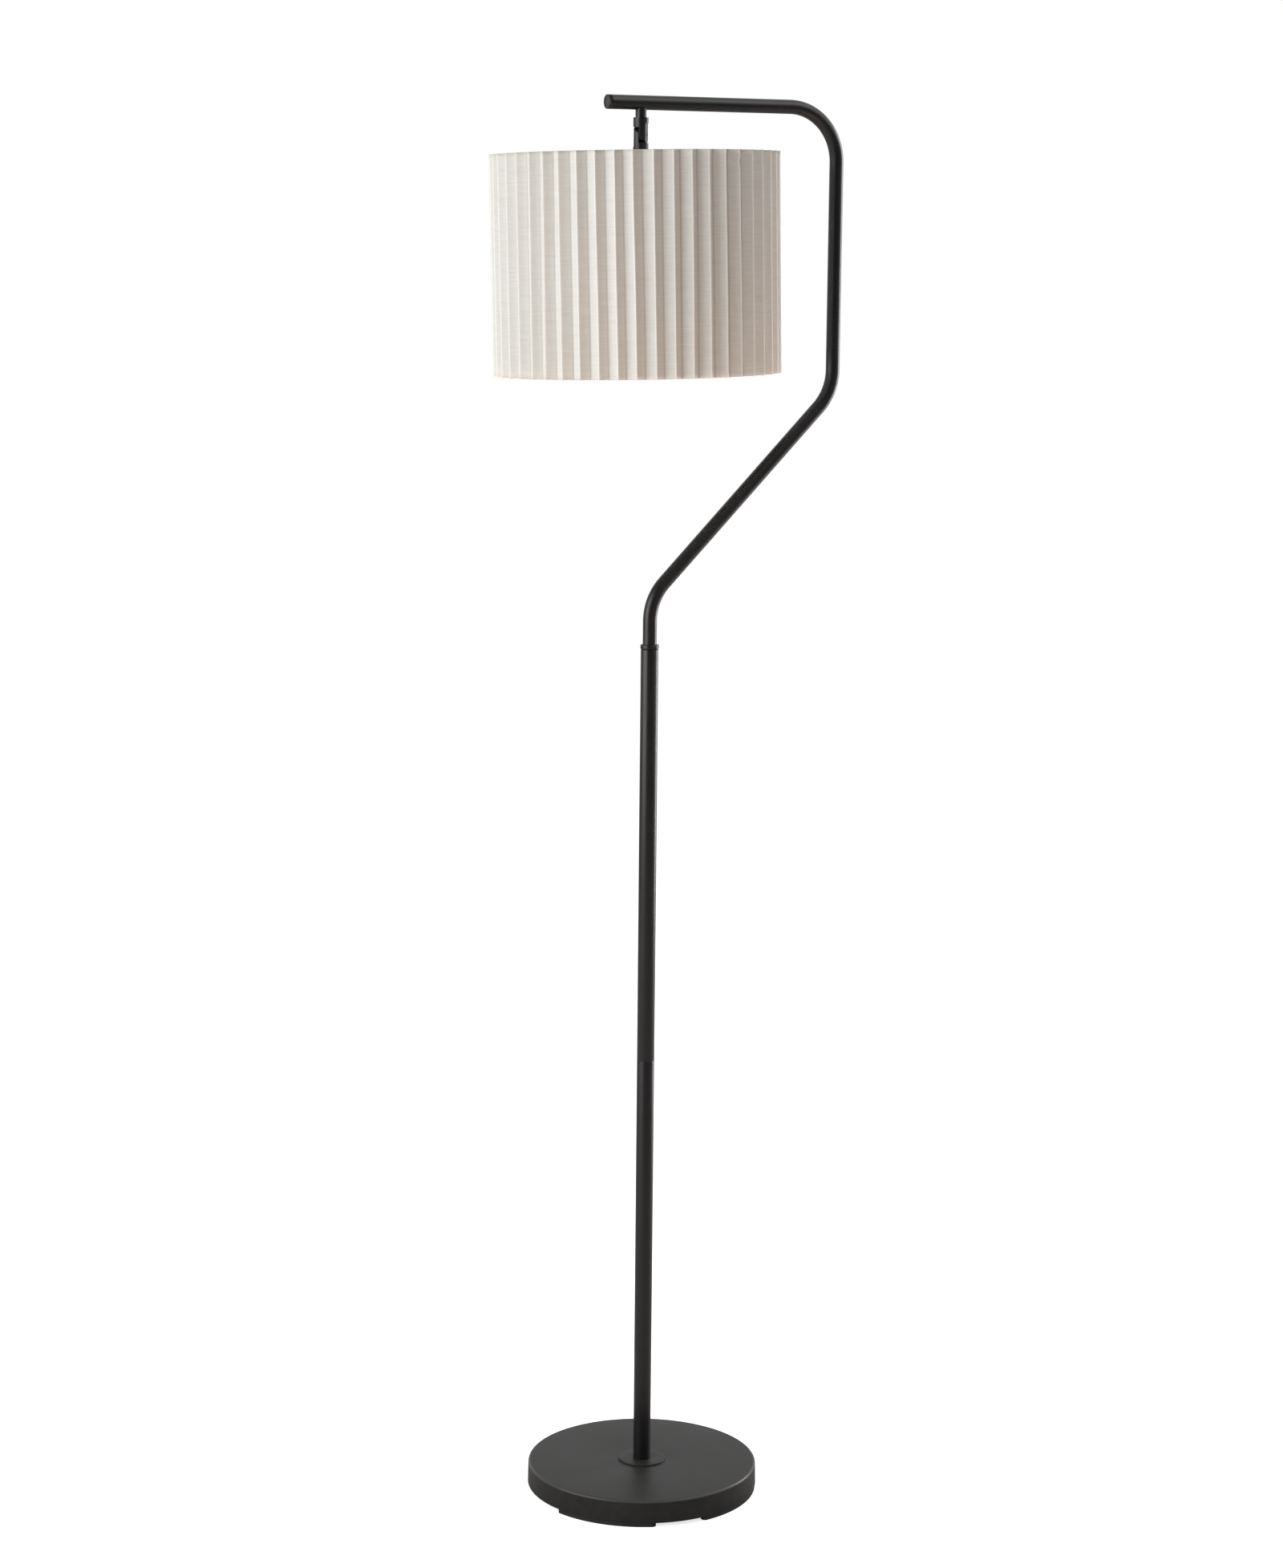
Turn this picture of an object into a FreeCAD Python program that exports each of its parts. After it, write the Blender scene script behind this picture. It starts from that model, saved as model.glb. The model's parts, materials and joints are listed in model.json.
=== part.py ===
import FreeCAD, Part
import os
from math import acos, cos, degrees, hypot, pi, radians, sin, tan

Vec = FreeCAD.Vector
Z_AXIS = Vec(0, 0, 1)
X_AXIS = Vec(1, 0, 0)
Y_AXIS = Vec(0, 1, 0)
ORIGIN = Vec(0, 0, 0)

# Bridge floor lamp, in millimetres. The floor is z = 0 and the pole stands on the Z axis.
# The bent arm lies in the XZ plane, rises on the +X side and ends over the pole.

# base
base_radius = 127.0            # 10 in base, at the foot of its wall
base_top = 30.0                # height of the cover's top above the floor
cover_wall = 1.2
cover_draft = 0.5              # the wall leans in by this much at its top
cover_round = 3.0
cover_clearance = 0.3
pad_thickness = 4.7
pad_width = 9.0
pad_inset = 0.7                # from the cover's wall to the pads' outer edge
pad_arc = 54.4                 # degrees
pad_starts = (-162.8, -83.4, 7.5, 100.0)   # degrees; the pads are stuck on by hand
plate_thickness = 1.5
plate_hole_radius = 32.0
recess_radius = 26.0           # well under the weight, for the nut
recess_depth = 12.0
channel_width = 8.0            # groove for the cord under the weight
channel_depth = 7.5

# cord inlet in the base's wall, at the back
inlet_bore_radius = 3.2
inlet_height = 14.5
bushing_wall = 1.5
bushing_flange = 1.8           # how far the flange stands round the neck
bushing_flange_thickness = 1.6
bushing_round = 0.8
bushing_barb = 0.8             # how far the inner ring stands round the neck
bushing_neck = 4.0             # length from the flange to the inner ring
bushing_barb_length = 2.0

# pole
pole_radius = 9.5
pole_wall = 1.0
pole_section = 457.2           # 18 in each
escutcheon_radius = 26.0
escutcheon_thickness = 1.5
escutcheon_round = 0.75
plug_length = 22.0
plug_seam_gap = 0.2            # how far the plugs sit back from the ends of the tubes
stud_radius = 5.0              # M10 hollow lamp thread
stud_bore_radius = 3.4
stud_chamfer = 0.8
joint_stud_length = 34.0
stud_past_nut = 2.5
stud_in_pole = 18.0
washer_radius = 15.0
washer_thickness = 1.6
nut_across_flats = 14.0
nut_thickness = 4.0
slip_clearance = 0.05          # between a turned piece and the bore that it fills
thread_clearance = 0.1
fit_clearance = 0.3            # between pieces that only stand beside each other

# collar at the top of the pole
collar_height = 5.0
collar_lip = 0.5               # how far the ring stands proud of the pole
collar_groove = 0.7            # height of the shadow groove under the ring
collar_groove_depth = 0.9
collar_spigot = 26.0
collar_chamfer = 0.8

# bent arm
arm_radius = 7.5
arm_wall = 1.2
arm_insert = 30.0              # length of the arm inside the pole
arm_first_bend = 993.5         # heights and reach of the corners of the arm's centre line
arm_reach = 217.5
arm_height = 1512.5
arm_free_end = -54.5
arm_bend_radius = 57.15         # 2 1/4 in
cap_length = 9.0
cap_rim = 1.3
cap_round = 0.9
cap_dish = 0.7
cap_dish_margin = 1.6

# swivel under the arm
head_offset = -16.0            # X of the swivel and of the shade's axis
nipple_reach = 7.7             # visible length between the arm and the swivel
nipple_collar_radius = 5.8     # the plain collar between the arm and the swivel
nipple_in_arm = 3.0
nipple_in_swivel = 6.0
knuckle_radius = 8.0
knuckle_neck = 17.9            # from the pivot to the top of the upper half
knuckle_tail = 14.5            # from the pivot to the foot of the lower half
knuckle_turn = -42.0           # degrees, direction of the pivot's axis seen from above
knuckle_flat = 6.3             # from the swivel's axis to the flats beside the screw
knuckle_flat_reach = 12.0      # from the pivot to the end of each flat
lap_gap = 0.3
swing_clearance = 0.2          # round the end of each ear, as it swings
screw_radius = 2.0
screw_running_clearance = 0.06
screw_head_radius = 3.6
screw_head_height = 1.7
screw_slot_width = 0.9
screw_slot_depth = 0.8
lock_nut_radius = 3.2
lock_nut_height = 1.6
tail_thread_length = 8.0

# socket and bulb
socket_cap_height = 20.0
socket_cap_hub = 8.5
socket_cap_hub_height = 4.2
socket_cap_cone = 5.5          # height of the cone between the hub and the skirt
socket_cap_wall = 1.4
socket_radius = 18.0
socket_skirt_radius = 15.8
socket_wall = 1.8
socket_shoulder = 48.0         # from the foot of the swivel to the socket's shoulder
socket_skirt = 26.0            # length of the threaded skirt below the shoulder
socket_overlap = 5.0           # how far the shell stands inside its cap
floor_thickness = 4.0
retainer_radius = 20.5
retainer_height = 6.0
retainer_chamfer = 0.75
contact_radius = 5.0
contact_height = 2.6
contact_round = 0.8
screw_shell_wall = 0.4
screw_shell_length = 22.0
bulb_base_radius = 13.0
bulb_base_wall = 0.5
bulb_base_length = 24.0
bulb_base_cone = 3.0           # height of the cone above the screw cap
bulb_tip_radius = 6.5
bulb_radius = 30.0
bulb_length = 84.0             # glass alone
bulb_neck_radius = 12.2
bulb_glass_wall = 0.9
bulb_neck_insert = 4.0
bulb_flare_angle = 30.0        # degrees above the widest line, where the flare starts
bulb_flare_hollow = 1.5        # how far the flare bends in from a straight cone

# rotary switch on the socket
switch_drop = 31.0             # from the foot of the swivel to the switch's axis
switch_turn = 60.0             # degrees from the pivot's axis
switch_boss_radius = 4.2
switch_boss_length = 5.0
switch_shaft_radius = 1.9
switch_shaft_running_clearance = 0.06
switch_shaft_inside = 5.0
knob_radius = 6.2
knob_length = 13.0
knob_round = 1.2
knob_gap = 0.6
knob_flutes = 12
knob_flute_radius = 1.1
knob_flute_length = 10.4
knob_socket_depth = 9.0

# shade: 12 in over the ridges and 9 in tall
shade_radius = 153.0
shade_height = 229.0
shade_top_drop = 18.4          # from the pivot to the top of the shade
pleat_count = 48
pleat_depth = 8.5
pleat_lean = -0.5              # degrees, the valleys stand nearer to one ridge
pleat_phase = 64.3             # degrees, direction of one ridge
pleat_cloth = 0.6
pleat_valley_width = 2.0       # of the narrow flat that each valley is pressed to
liner_thickness = 0.8
ring_wire_radius = 1.4
ring_sides = 8                 # the thin wire is drawn with flat sides
ring_drop = 2.2                # from the shade's edge to the centre of each wire ring
fitter_inner_radius = 16.2
fitter_outer_radius = 20.0
fitter_thickness = 1.6
spoke_count = 3
spoke_radius = 1.6
spoke_turn = 15.0              # degrees from the pivot's axis
spoke_bend_radius = 12.0
spoke_flat_run = 12.0

# heights that follow
pole_foot = base_top
pole_seam = pole_foot + pole_section
pole_top = pole_seam + pole_section
pole_bore = pole_radius - pole_wall
recess_top = pad_thickness + recess_depth
arm_bore = arm_radius - arm_wall
arm_underside = arm_height - arm_radius
swivel_top = arm_underside - nipple_reach
pivot_height = swivel_top - knuckle_neck
swivel_foot = pivot_height - knuckle_tail
shade_top = pivot_height - shade_top_drop
shade_foot = shade_top - shade_height
shoulder_height = swivel_foot - socket_shoulder
socket_foot = shoulder_height - socket_skirt
valley_radius = shade_radius - pleat_depth


def turned(profile, axis_x=0.0):
    """A solid of revolution about a vertical axis, from (radius, height) points."""
    points = [Vec(r, 0, z) for r, z in profile]
    face = Part.Face(Part.makePolygon(points + points[:1]))
    solid = face.revolve(ORIGIN, Z_AXIS, 360)
    return moved(solid, axis_x)


def moved(shape, x=0.0, y=0.0, z=0.0):
    shape.translate(Vec(x, y, z))
    return shape


def rod(radius, foot, top, axis_x=0.0):
    return Part.makeCylinder(radius, top - foot, Vec(axis_x, 0, foot))


def ring(outer, inner, foot, top, axis_x=0.0):
    return rod(outer, foot, top, axis_x).cut(rod(inner, foot, top, axis_x))


def hexagon(across_flats, foot, height):
    corner = across_flats / 2 / cos(radians(30))
    points = [Vec(corner * cos(pi / 3 * i), corner * sin(pi / 3 * i), foot) for i in range(7)]
    return Part.Face(Part.makePolygon(points)).extrude(Vec(0, 0, height))


def edges_at(shape, height, radius, tolerance=0.05):
    """Round edges at a height whose radius is the given one."""
    found = []
    for edge in shape.Edges:
        box = edge.BoundBox
        flat = box.ZLength < tolerance and abs(box.ZMin - height) < tolerance
        if flat and abs(box.XLength / 2 - radius) < tolerance:
            found.append(edge)
    return found


def about_pivot(shape):
    """Move a shape modelled round the pivot, with the pivot's axis on X, to its place."""
    shape.rotate(ORIGIN, Z_AXIS, knuckle_turn)
    return moved(shape, head_offset, 0, pivot_height)


def bent_path(corners, radius):
    """Straight runs joined by tangent arcs of one radius."""
    edges = []
    start = corners[0]
    for before, corner, after in zip(corners, corners[1:], corners[2:]):
        come = (corner - before).normalize()
        go = (after - corner).normalize()
        turn = acos(come.dot(go))
        reach = radius * tan(turn / 2)
        entry = corner - come * reach
        leave = corner + go * reach
        inward = (go - come).normalize()
        centre = corner + inward * (radius / cos(turn / 2))
        middle = centre - inward * radius
        edges.append(Part.LineSegment(start, entry).toShape())
        edges.append(Part.Arc(entry, middle, leave).toShape())
        start = leave
    edges.append(Part.LineSegment(start, corners[-1]).toShape())
    return Part.Wire(edges)


def swept(path, radius):
    """A round bar along a path."""
    edge = path.Edges[0]
    start = edge.valueAt(edge.FirstParameter)
    along = edge.tangentAt(edge.FirstParameter)
    section = Part.Wire(Part.makeCircle(radius, start, along))
    return path.makePipeShell([section], True, False)


def base_cover():
    """Drawn steel cover: a drafted wall, a rounded shoulder and a flat top."""
    top_radius = base_radius - cover_draft
    outer = turned([
        (0, pad_thickness), (base_radius, pad_thickness), (top_radius, base_top), (0, base_top),
    ])
    outer = outer.makeFillet(cover_round, edges_at(outer, base_top, top_radius))
    inner_top = base_top - cover_wall
    inner = turned([
        (0, pad_thickness), (base_radius - cover_wall, pad_thickness),
        (top_radius - cover_wall, inner_top), (0, inner_top),
    ])
    inner_round = cover_round - cover_wall
    inner = inner.makeFillet(inner_round, edges_at(inner, inner_top, top_radius - cover_wall))
    hole = rod(stud_radius + thread_clearance, inner_top, base_top)
    return outer.cut(inner).cut(hole).cut(inlet_hole())


def inlet_hole():
    neck = inlet_bore_radius + bushing_wall + slip_clearance
    start = base_radius - cover_wall - cover_draft - cover_clearance
    return Part.makeCylinder(neck, base_radius, Vec(0, start, inlet_height), Y_AXIS)


def inside_radius():
    """What stands inside the cover clears its wall at the top, where it is narrowest."""
    return base_radius - cover_draft - cover_wall - cover_clearance


def base_weight():
    """Cast slab under the cover, with a well for the nut and a groove for the cord."""
    foot = pad_thickness + plate_thickness
    top = base_top - cover_wall
    edge = inside_radius()
    slab = rod(edge, foot, top)
    slab = slab.makeChamfer(cover_round, edges_at(slab, top, edge))
    well = rod(recess_radius, foot, recess_top)
    hole = rod(stud_radius + fit_clearance, recess_top, top)
    groove = Part.makeBox(
        channel_width, base_radius, channel_depth,
        Vec(-channel_width / 2, 0, foot),
    )
    barb = bushing_barb_radius() + fit_clearance
    depth = bushing_neck + bushing_barb_length + fit_clearance
    start = edge - depth + cover_wall
    pocket = Part.makeCylinder(barb, depth, Vec(0, start, inlet_height), Y_AXIS)
    under = Part.makeBox(2 * barb, depth, inlet_height - foot, Vec(-barb, start, foot))
    return slab.cut(well).cut(hole).cut(groove).cut(pocket).cut(under)


def bottom_plate():
    """Closing plate under the weight, which the pads are stuck to."""
    plate = ring(inside_radius(), plate_hole_radius, pad_thickness, pad_thickness + plate_thickness)
    groove = Part.makeBox(
        channel_width, base_radius, plate_thickness,
        Vec(-channel_width / 2, 0, pad_thickness),
    )
    return plate.cut(groove)


def foot_pads():
    """Four arc-shaped pads with rounded ends, near the edge of the base."""
    outer = base_radius - pad_inset
    inner = outer - pad_width
    middle = (outer + inner) / 2
    end_radius = pad_width / 2
    end_turn = degrees(end_radius / middle)
    pads = []
    for start in pad_starts:
        first = start + end_turn
        arc = pad_arc - 2 * end_turn
        band = Part.makeCylinder(outer, pad_thickness, ORIGIN, Z_AXIS, arc)
        band = band.cut(Part.makeCylinder(inner, pad_thickness))
        for angle in (0, arc):
            place = Vec(middle * cos(radians(angle)), middle * sin(radians(angle)), 0)
            band = band.fuse(Part.makeCylinder(end_radius, pad_thickness, place))
        pad = band.removeSplitter()
        pad.rotate(ORIGIN, Z_AXIS, first)
        pads.append(pad)
    return Part.Compound(pads)


def bushing_barb_radius():
    return inlet_bore_radius + bushing_wall + bushing_barb


def cord_bushing():
    """Snap-in bushing in the wall, with a rounded mouth."""
    neck = inlet_bore_radius + bushing_wall
    flange = neck + bushing_flange
    barb = bushing_barb_radius()
    length = bushing_flange_thickness + bushing_neck + bushing_barb_length
    after_neck = bushing_flange_thickness + bushing_neck
    body = turned([
        (inlet_bore_radius, 0), (flange, 0), (flange, bushing_flange_thickness),
        (neck, bushing_flange_thickness), (neck, after_neck), (barb, after_neck),
        (neck, length), (inlet_bore_radius, length),
    ])
    body = body.makeFillet(bushing_round, edges_at(body, 0, flange))
    body.rotate(ORIGIN, X_AXIS, 90)
    return moved(body, 0, bushing_mouth(), inlet_height)


def bushing_mouth():
    """Y of the bushing's outer end: its flange lies against the wall."""
    return base_radius + bushing_flange_thickness


def escutcheon():
    """Disc that covers the hole round the foot of the pole."""
    top = base_top + escutcheon_thickness
    disc = ring(escutcheon_radius, pole_radius + slip_clearance, base_top, top)
    return disc.makeFillet(escutcheon_round, edges_at(disc, top, escutcheon_radius))


def stud(foot, top):
    """Hollow threaded stud, with chamfered ends."""
    body = ring(stud_radius, stud_bore_radius, foot, top)
    ends = edges_at(body, foot, stud_radius) + edges_at(body, top, stud_radius)
    return body.makeChamfer(stud_chamfer, ends)


def base_stud():
    foot = recess_top - washer_thickness - nut_thickness - stud_past_nut
    return stud(foot, pole_foot + stud_in_pole)


def stud_washer():
    return ring(washer_radius, stud_radius + thread_clearance, recess_top - washer_thickness, recess_top)


def stud_nut():
    foot = recess_top - washer_thickness - nut_thickness
    body = hexagon(nut_across_flats, foot, nut_thickness)
    return body.cut(rod(stud_radius + thread_clearance, foot, foot + nut_thickness))


def pole_tube(foot, top):
    return ring(pole_radius, pole_bore, foot, top)


def pole_plugs():
    """Threaded plugs in the pole: at its foot and on both sides of the seam."""
    feet = (
        pole_foot + plug_seam_gap,
        pole_seam - plug_seam_gap - plug_length,
        pole_seam + plug_seam_gap,
    )
    outer = pole_bore - slip_clearance
    inner = stud_radius + thread_clearance
    return Part.Compound([ring(outer, inner, foot, foot + plug_length) for foot in feet])


def joint_stud():
    return stud(pole_seam - joint_stud_length / 2, pole_seam + joint_stud_length / 2)


def upper_pole_top():
    return pole_top - collar_height


def arm_collar():
    """Turned reducer: a chamfered ring over the pole, a shadow groove and a spigot in the bore."""
    lip = pole_radius + collar_lip
    foot = upper_pole_top()
    spigot = pole_bore - slip_clearance
    bore = arm_radius + slip_clearance
    neck = pole_radius - collar_groove_depth
    return turned([
        (bore, foot - collar_spigot), (spigot, foot - collar_spigot), (spigot, foot),
        (neck, foot), (neck, foot + collar_groove), (lip, foot + collar_groove),
        (lip, pole_top - collar_chamfer), (lip - collar_chamfer, pole_top), (bore, pole_top),
    ])


def arm_path():
    """Up from the pole, out at 45 degrees, up again, and back over the pole."""
    return bent_path([
        Vec(0, 0, pole_top - arm_insert),
        Vec(0, 0, arm_first_bend),
        Vec(arm_reach, 0, arm_first_bend + arm_reach),
        Vec(arm_reach, 0, arm_height),
        Vec(arm_free_end, 0, arm_height),
    ], arm_bend_radius)


def arm_tube():
    path = arm_path()
    tube = swept(path, arm_radius).cut(swept(path, arm_bore))
    return tube.cut(rod(stud_radius + slip_clearance, arm_underside, arm_height, head_offset))


def arm_end_cap():
    """Push-in cap with a rounded rim and a shallow dish."""
    plug = arm_bore - slip_clearance
    body = turned([(0, 0), (plug, 0), (plug, cap_length), (arm_radius, cap_length),
                   (arm_radius, cap_length + cap_rim), (0, cap_length + cap_rim)])
    body = body.makeFillet(cap_round, edges_at(body, cap_length + cap_rim, arm_radius))
    dish = arm_radius - cap_dish_margin
    body = body.cut(rod(dish, cap_length + cap_rim - cap_dish, cap_length + cap_rim))
    body.rotate(ORIGIN, Y_AXIS, -90)
    return moved(body, arm_free_end + cap_length, 0, arm_height)


def arm_nipple():
    """Hollow nipple that hangs the swivel, with a plain collar saddled to the arm's underside."""
    foot = swivel_top - nipple_in_swivel
    top = arm_underside + arm_wall + nipple_in_arm
    collar = rod(nipple_collar_radius, swivel_top, arm_height)
    span = 2 * nipple_collar_radius
    arm = Part.makeCylinder(arm_radius + slip_clearance, 2 * span, Vec(-span, 0, arm_height), X_AXIS)
    body = rod(stud_radius, foot, top).fuse(collar.cut(arm)).removeSplitter()
    return moved(body.cut(rod(stud_bore_radius, foot, top)), head_offset)


def lap_half():
    """One half of the lap joint, pivot at the origin: a rounded ear on the +X side of the lap
    plane, under a full round body whose shoulder has a hollow for the other ear's end."""
    shoulder = knuckle_radius + slip_clearance
    tip = across_pivot(knuckle_radius, -knuckle_radius, knuckle_radius)
    tip = tip.common(rod(knuckle_radius, -knuckle_radius, 0))
    ear = rod(knuckle_radius, 0, knuckle_neck).fuse(tip)
    beside = Part.makeBox(
        2 * knuckle_radius, 2 * knuckle_radius, knuckle_radius + shoulder,
        Vec(lap_gap / 2 - 2 * knuckle_radius, -knuckle_radius, -knuckle_radius),
    )
    flat = Part.makeBox(
        knuckle_radius, 2 * knuckle_radius, knuckle_radius + knuckle_flat_reach,
        Vec(knuckle_flat, -knuckle_radius, -knuckle_radius),
    )
    hollow = across_pivot(knuckle_radius + swing_clearance, -knuckle_radius, lap_gap / 2)
    return ear.removeSplitter().cut(beside).cut(hollow).cut(flat)


def across_pivot(radius, start, end):
    return Part.makeCylinder(radius, end - start, Vec(start, 0, 0), X_AXIS)


def knuckle_upper():
    """Upper half: bored for the nipple, with the screw's head let into its flat."""
    half = lap_half()
    socket = rod(stud_radius + thread_clearance, knuckle_neck - nipple_in_swivel, knuckle_neck)
    wire_way = rod(stud_bore_radius, knuckle_radius + swing_clearance, knuckle_neck)
    screw_hole = across_pivot(screw_radius + slip_clearance, 0, knuckle_radius)
    seat = across_pivot(
        screw_head_radius + slip_clearance,
        knuckle_flat - screw_head_height, knuckle_radius,
    )
    return about_pivot(half.cut(socket).cut(wire_way).cut(screw_hole).cut(seat))


def knuckle_lower():
    """Lower half: the same lap turned over, running on the screw, with a threaded tail."""
    half = lap_half()
    half.rotate(ORIGIN, Y_AXIS, 180)
    half = half.common(rod(knuckle_radius, -knuckle_tail, knuckle_radius))
    foot = -knuckle_tail - tail_thread_length
    tail = rod(stud_radius, foot, -knuckle_tail)
    wire_way = rod(stud_bore_radius, foot, -knuckle_radius - swing_clearance)
    screw_hole = across_pivot(screw_radius + screw_running_clearance, -knuckle_radius, 0)
    seat = across_pivot(
        lock_nut_radius + fit_clearance,
        -knuckle_radius, -knuckle_flat + lock_nut_height + fit_clearance,
    )
    return about_pivot(half.fuse(tail).removeSplitter().cut(wire_way).cut(screw_hole).cut(seat))


def knuckle_screw():
    """Slotted pivot screw; its shank is the hinge's pin."""
    head = across_pivot(screw_head_radius, knuckle_flat - screw_head_height, knuckle_flat)
    shank = across_pivot(screw_radius, -knuckle_flat, knuckle_flat - screw_head_height)
    slot = Part.makeBox(
        screw_slot_depth, 2 * screw_head_radius, screw_slot_width,
        Vec(knuckle_flat - screw_slot_depth, -screw_head_radius, -screw_slot_width / 2),
    )
    return about_pivot(head.fuse(shank).cut(slot))


def knuckle_nut():
    """Round lock nut in the lower half's seat; it stays with the screw."""
    body = across_pivot(lock_nut_radius, -knuckle_flat, -knuckle_flat + lock_nut_height)
    return about_pivot(body.cut(across_pivot(screw_radius + slip_clearance, -knuckle_flat, 0)))


def socket_cap():
    """Spun cap: a hub on the swivel's tail, a bell and a straight skirt."""
    top = swivel_foot
    foot = top - socket_cap_height
    outer = socket_radius + socket_cap_wall + slip_clearance
    inner = outer - socket_cap_wall
    thread = stud_radius + thread_clearance
    cone_top = top - socket_cap_hub_height
    cone_foot = cone_top - socket_cap_cone
    return turned([
        (thread, top), (socket_cap_hub, top), (socket_cap_hub, cone_top),
        (outer, cone_foot), (outer, foot), (inner, foot), (inner, cone_foot - socket_cap_wall),
        (socket_cap_hub, cone_top - socket_cap_wall), (thread, cone_top - socket_cap_wall),
    ], head_offset)


def socket_shell():
    """Moulded body: a wide upper part for the switch, a shoulder and a threaded skirt."""
    top = swivel_foot - socket_cap_height + socket_overlap
    inner = socket_skirt_radius - socket_wall
    upper_inner = socket_radius - socket_wall
    body = turned([
        (socket_radius, top), (socket_radius, shoulder_height),
        (socket_skirt_radius, shoulder_height), (socket_skirt_radius, socket_foot),
        (inner, socket_foot), (inner, insert_top()), (upper_inner, insert_top()), (upper_inner, top),
    ])
    reach = socket_radius + switch_boss_length
    boss = along_switch(switch_boss_radius, 0, reach)
    boss = boss.cut(rod((socket_radius + upper_inner) / 2, socket_foot, top))
    shaft_hole = along_switch(switch_shaft_radius + switch_shaft_running_clearance, 0, reach)
    return turned_to_switch(body.fuse(boss).removeSplitter().cut(shaft_hole))


def switch_height():
    return swivel_foot - switch_drop


def along_switch(radius, start, end):
    """A bar on the switch's axis, before it is turned to its side of the socket."""
    return Part.makeCylinder(radius, end - start, Vec(start, 0, switch_height()), X_AXIS)


def turned_to_switch(shape):
    shape.rotate(ORIGIN, Z_AXIS, knuckle_turn + switch_turn)
    return moved(shape, head_offset)


def insert_top():
    """Top of the insulating floor, just above the shoulder."""
    return shoulder_height + floor_thickness


def socket_floor():
    """Insulating disc that carries the contact."""
    radius = socket_skirt_radius - socket_wall - slip_clearance
    return rod(radius, shoulder_height, shoulder_height + floor_thickness, head_offset)


def bulb_seat():
    """Height where the top of the bulb's base meets the contact."""
    return shoulder_height - contact_height


def socket_contact():
    disc = rod(contact_radius, bulb_seat(), shoulder_height, head_offset)
    return disc.makeFillet(contact_round, edges_at_axis(disc, bulb_seat(), contact_radius))


def edges_at_axis(shape, height, radius):
    """Round edges of a piece on the head's axis."""
    return [edge for edge in shape.Edges
            if abs(edge.BoundBox.ZMax - height) < slip_clearance
            and edge.BoundBox.ZLength < slip_clearance
            and abs(edge.BoundBox.XLength / 2 - radius) < slip_clearance]


def screw_shell():
    """Thin metal sleeve inside the skirt, which takes the bulb's base."""
    outer = socket_skirt_radius - socket_wall - slip_clearance
    top = shoulder_height - slip_clearance
    return ring(outer, outer - screw_shell_wall, top - screw_shell_length, top, head_offset)


def socket_retainer():
    """Knurled ring that clamps the shade's fitter against the shoulder."""
    top = shoulder_height - fitter_thickness
    foot = top - retainer_height
    body = ring(retainer_radius, socket_skirt_radius + thread_clearance, foot, top, head_offset)
    rims = edges_at_axis(body, top, retainer_radius) + edges_at_axis(body, foot, retainer_radius)
    return body.makeChamfer(retainer_chamfer, rims)


def bulb_base():
    """Thin screw cap of the bulb, closed at the contact."""
    top = bulb_seat()
    foot = top - bulb_base_length
    cone_foot = top - bulb_base_cone
    inner = bulb_base_radius - bulb_base_wall
    return turned([
        (0, top), (bulb_tip_radius, top), (bulb_base_radius, cone_foot), (bulb_base_radius, foot),
        (inner, foot), (inner, cone_foot), (bulb_tip_radius, top - bulb_base_wall),
        (0, top - bulb_base_wall),
    ], head_offset)


def bulb_outline(inset):
    """Half outline of the glass: a straight neck, a flare and a round end, drawn inwards by inset."""
    top = bulb_seat() - bulb_base_length + bulb_neck_insert
    neck = bulb_neck_radius - inset
    centre = top - bulb_length + bulb_radius
    belly = bulb_radius - inset
    flare_start = bulb_seat() - bulb_base_length
    meet = radians(bulb_flare_angle)
    meet_point = Vec(belly * cos(meet), 0, centre + belly * sin(meet))
    widest = Vec(belly, 0, centre)
    bottom = Vec(0, 0, centre - belly)
    flare_top = Vec(neck, 0, flare_start)
    flare_middle = (flare_top + meet_point) * 0.5 - Vec(bulb_flare_hollow, 0, 0)
    edges = [
        Part.LineSegment(Vec(0, 0, top), Vec(neck, 0, top)),
        Part.LineSegment(Vec(neck, 0, top), flare_top),
        Part.Arc(flare_top, flare_middle, meet_point),
        Part.Arc(meet_point, widest, bottom),
        Part.LineSegment(bottom, Vec(0, 0, top)),
    ]
    return Part.Face(Part.Wire([edge.toShape() for edge in edges]))


def bulb_glass():
    """Blown envelope, open at the neck inside the screw cap."""
    outer = bulb_outline(0).revolve(ORIGIN, Z_AXIS, 360)
    inner = bulb_outline(bulb_glass_wall).revolve(ORIGIN, Z_AXIS, 360)
    return moved(outer.cut(inner), head_offset)


def switch_shaft():
    """Shaft of the rotary switch, from inside the socket into the knob."""
    start = socket_radius - socket_wall - switch_shaft_inside
    end = knob_start() + knob_socket_depth
    return turned_to_switch(along_switch(switch_shaft_radius, start, end))


def knob_start():
    return socket_radius + switch_boss_length + knob_gap


def switch_knob():
    """Fluted knob with a blind hole for the shaft."""
    body = Part.makeCylinder(knob_radius, knob_length, ORIGIN, X_AXIS)
    rim = [edge for edge in body.Edges
           if edge.BoundBox.XLength < slip_clearance and edge.BoundBox.XMin > knob_length / 2]
    body = body.makeFillet(knob_round, rim)
    for i in range(knob_flutes):
        angle = 2 * pi * i / knob_flutes
        place = Vec(0, knob_radius * cos(angle), knob_radius * sin(angle))
        body = body.cut(Part.makeCylinder(knob_flute_radius, knob_flute_length, place, X_AXIS))
    body = body.cut(Part.makeCylinder(switch_shaft_radius, knob_socket_depth, ORIGIN, X_AXIS))
    return turned_to_switch(moved(body, knob_start(), 0, switch_height()))


def on_circle(radius, angle, height=0.0):
    return Vec(radius * cos(radians(angle)), radius * sin(radians(angle)), height)


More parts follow.
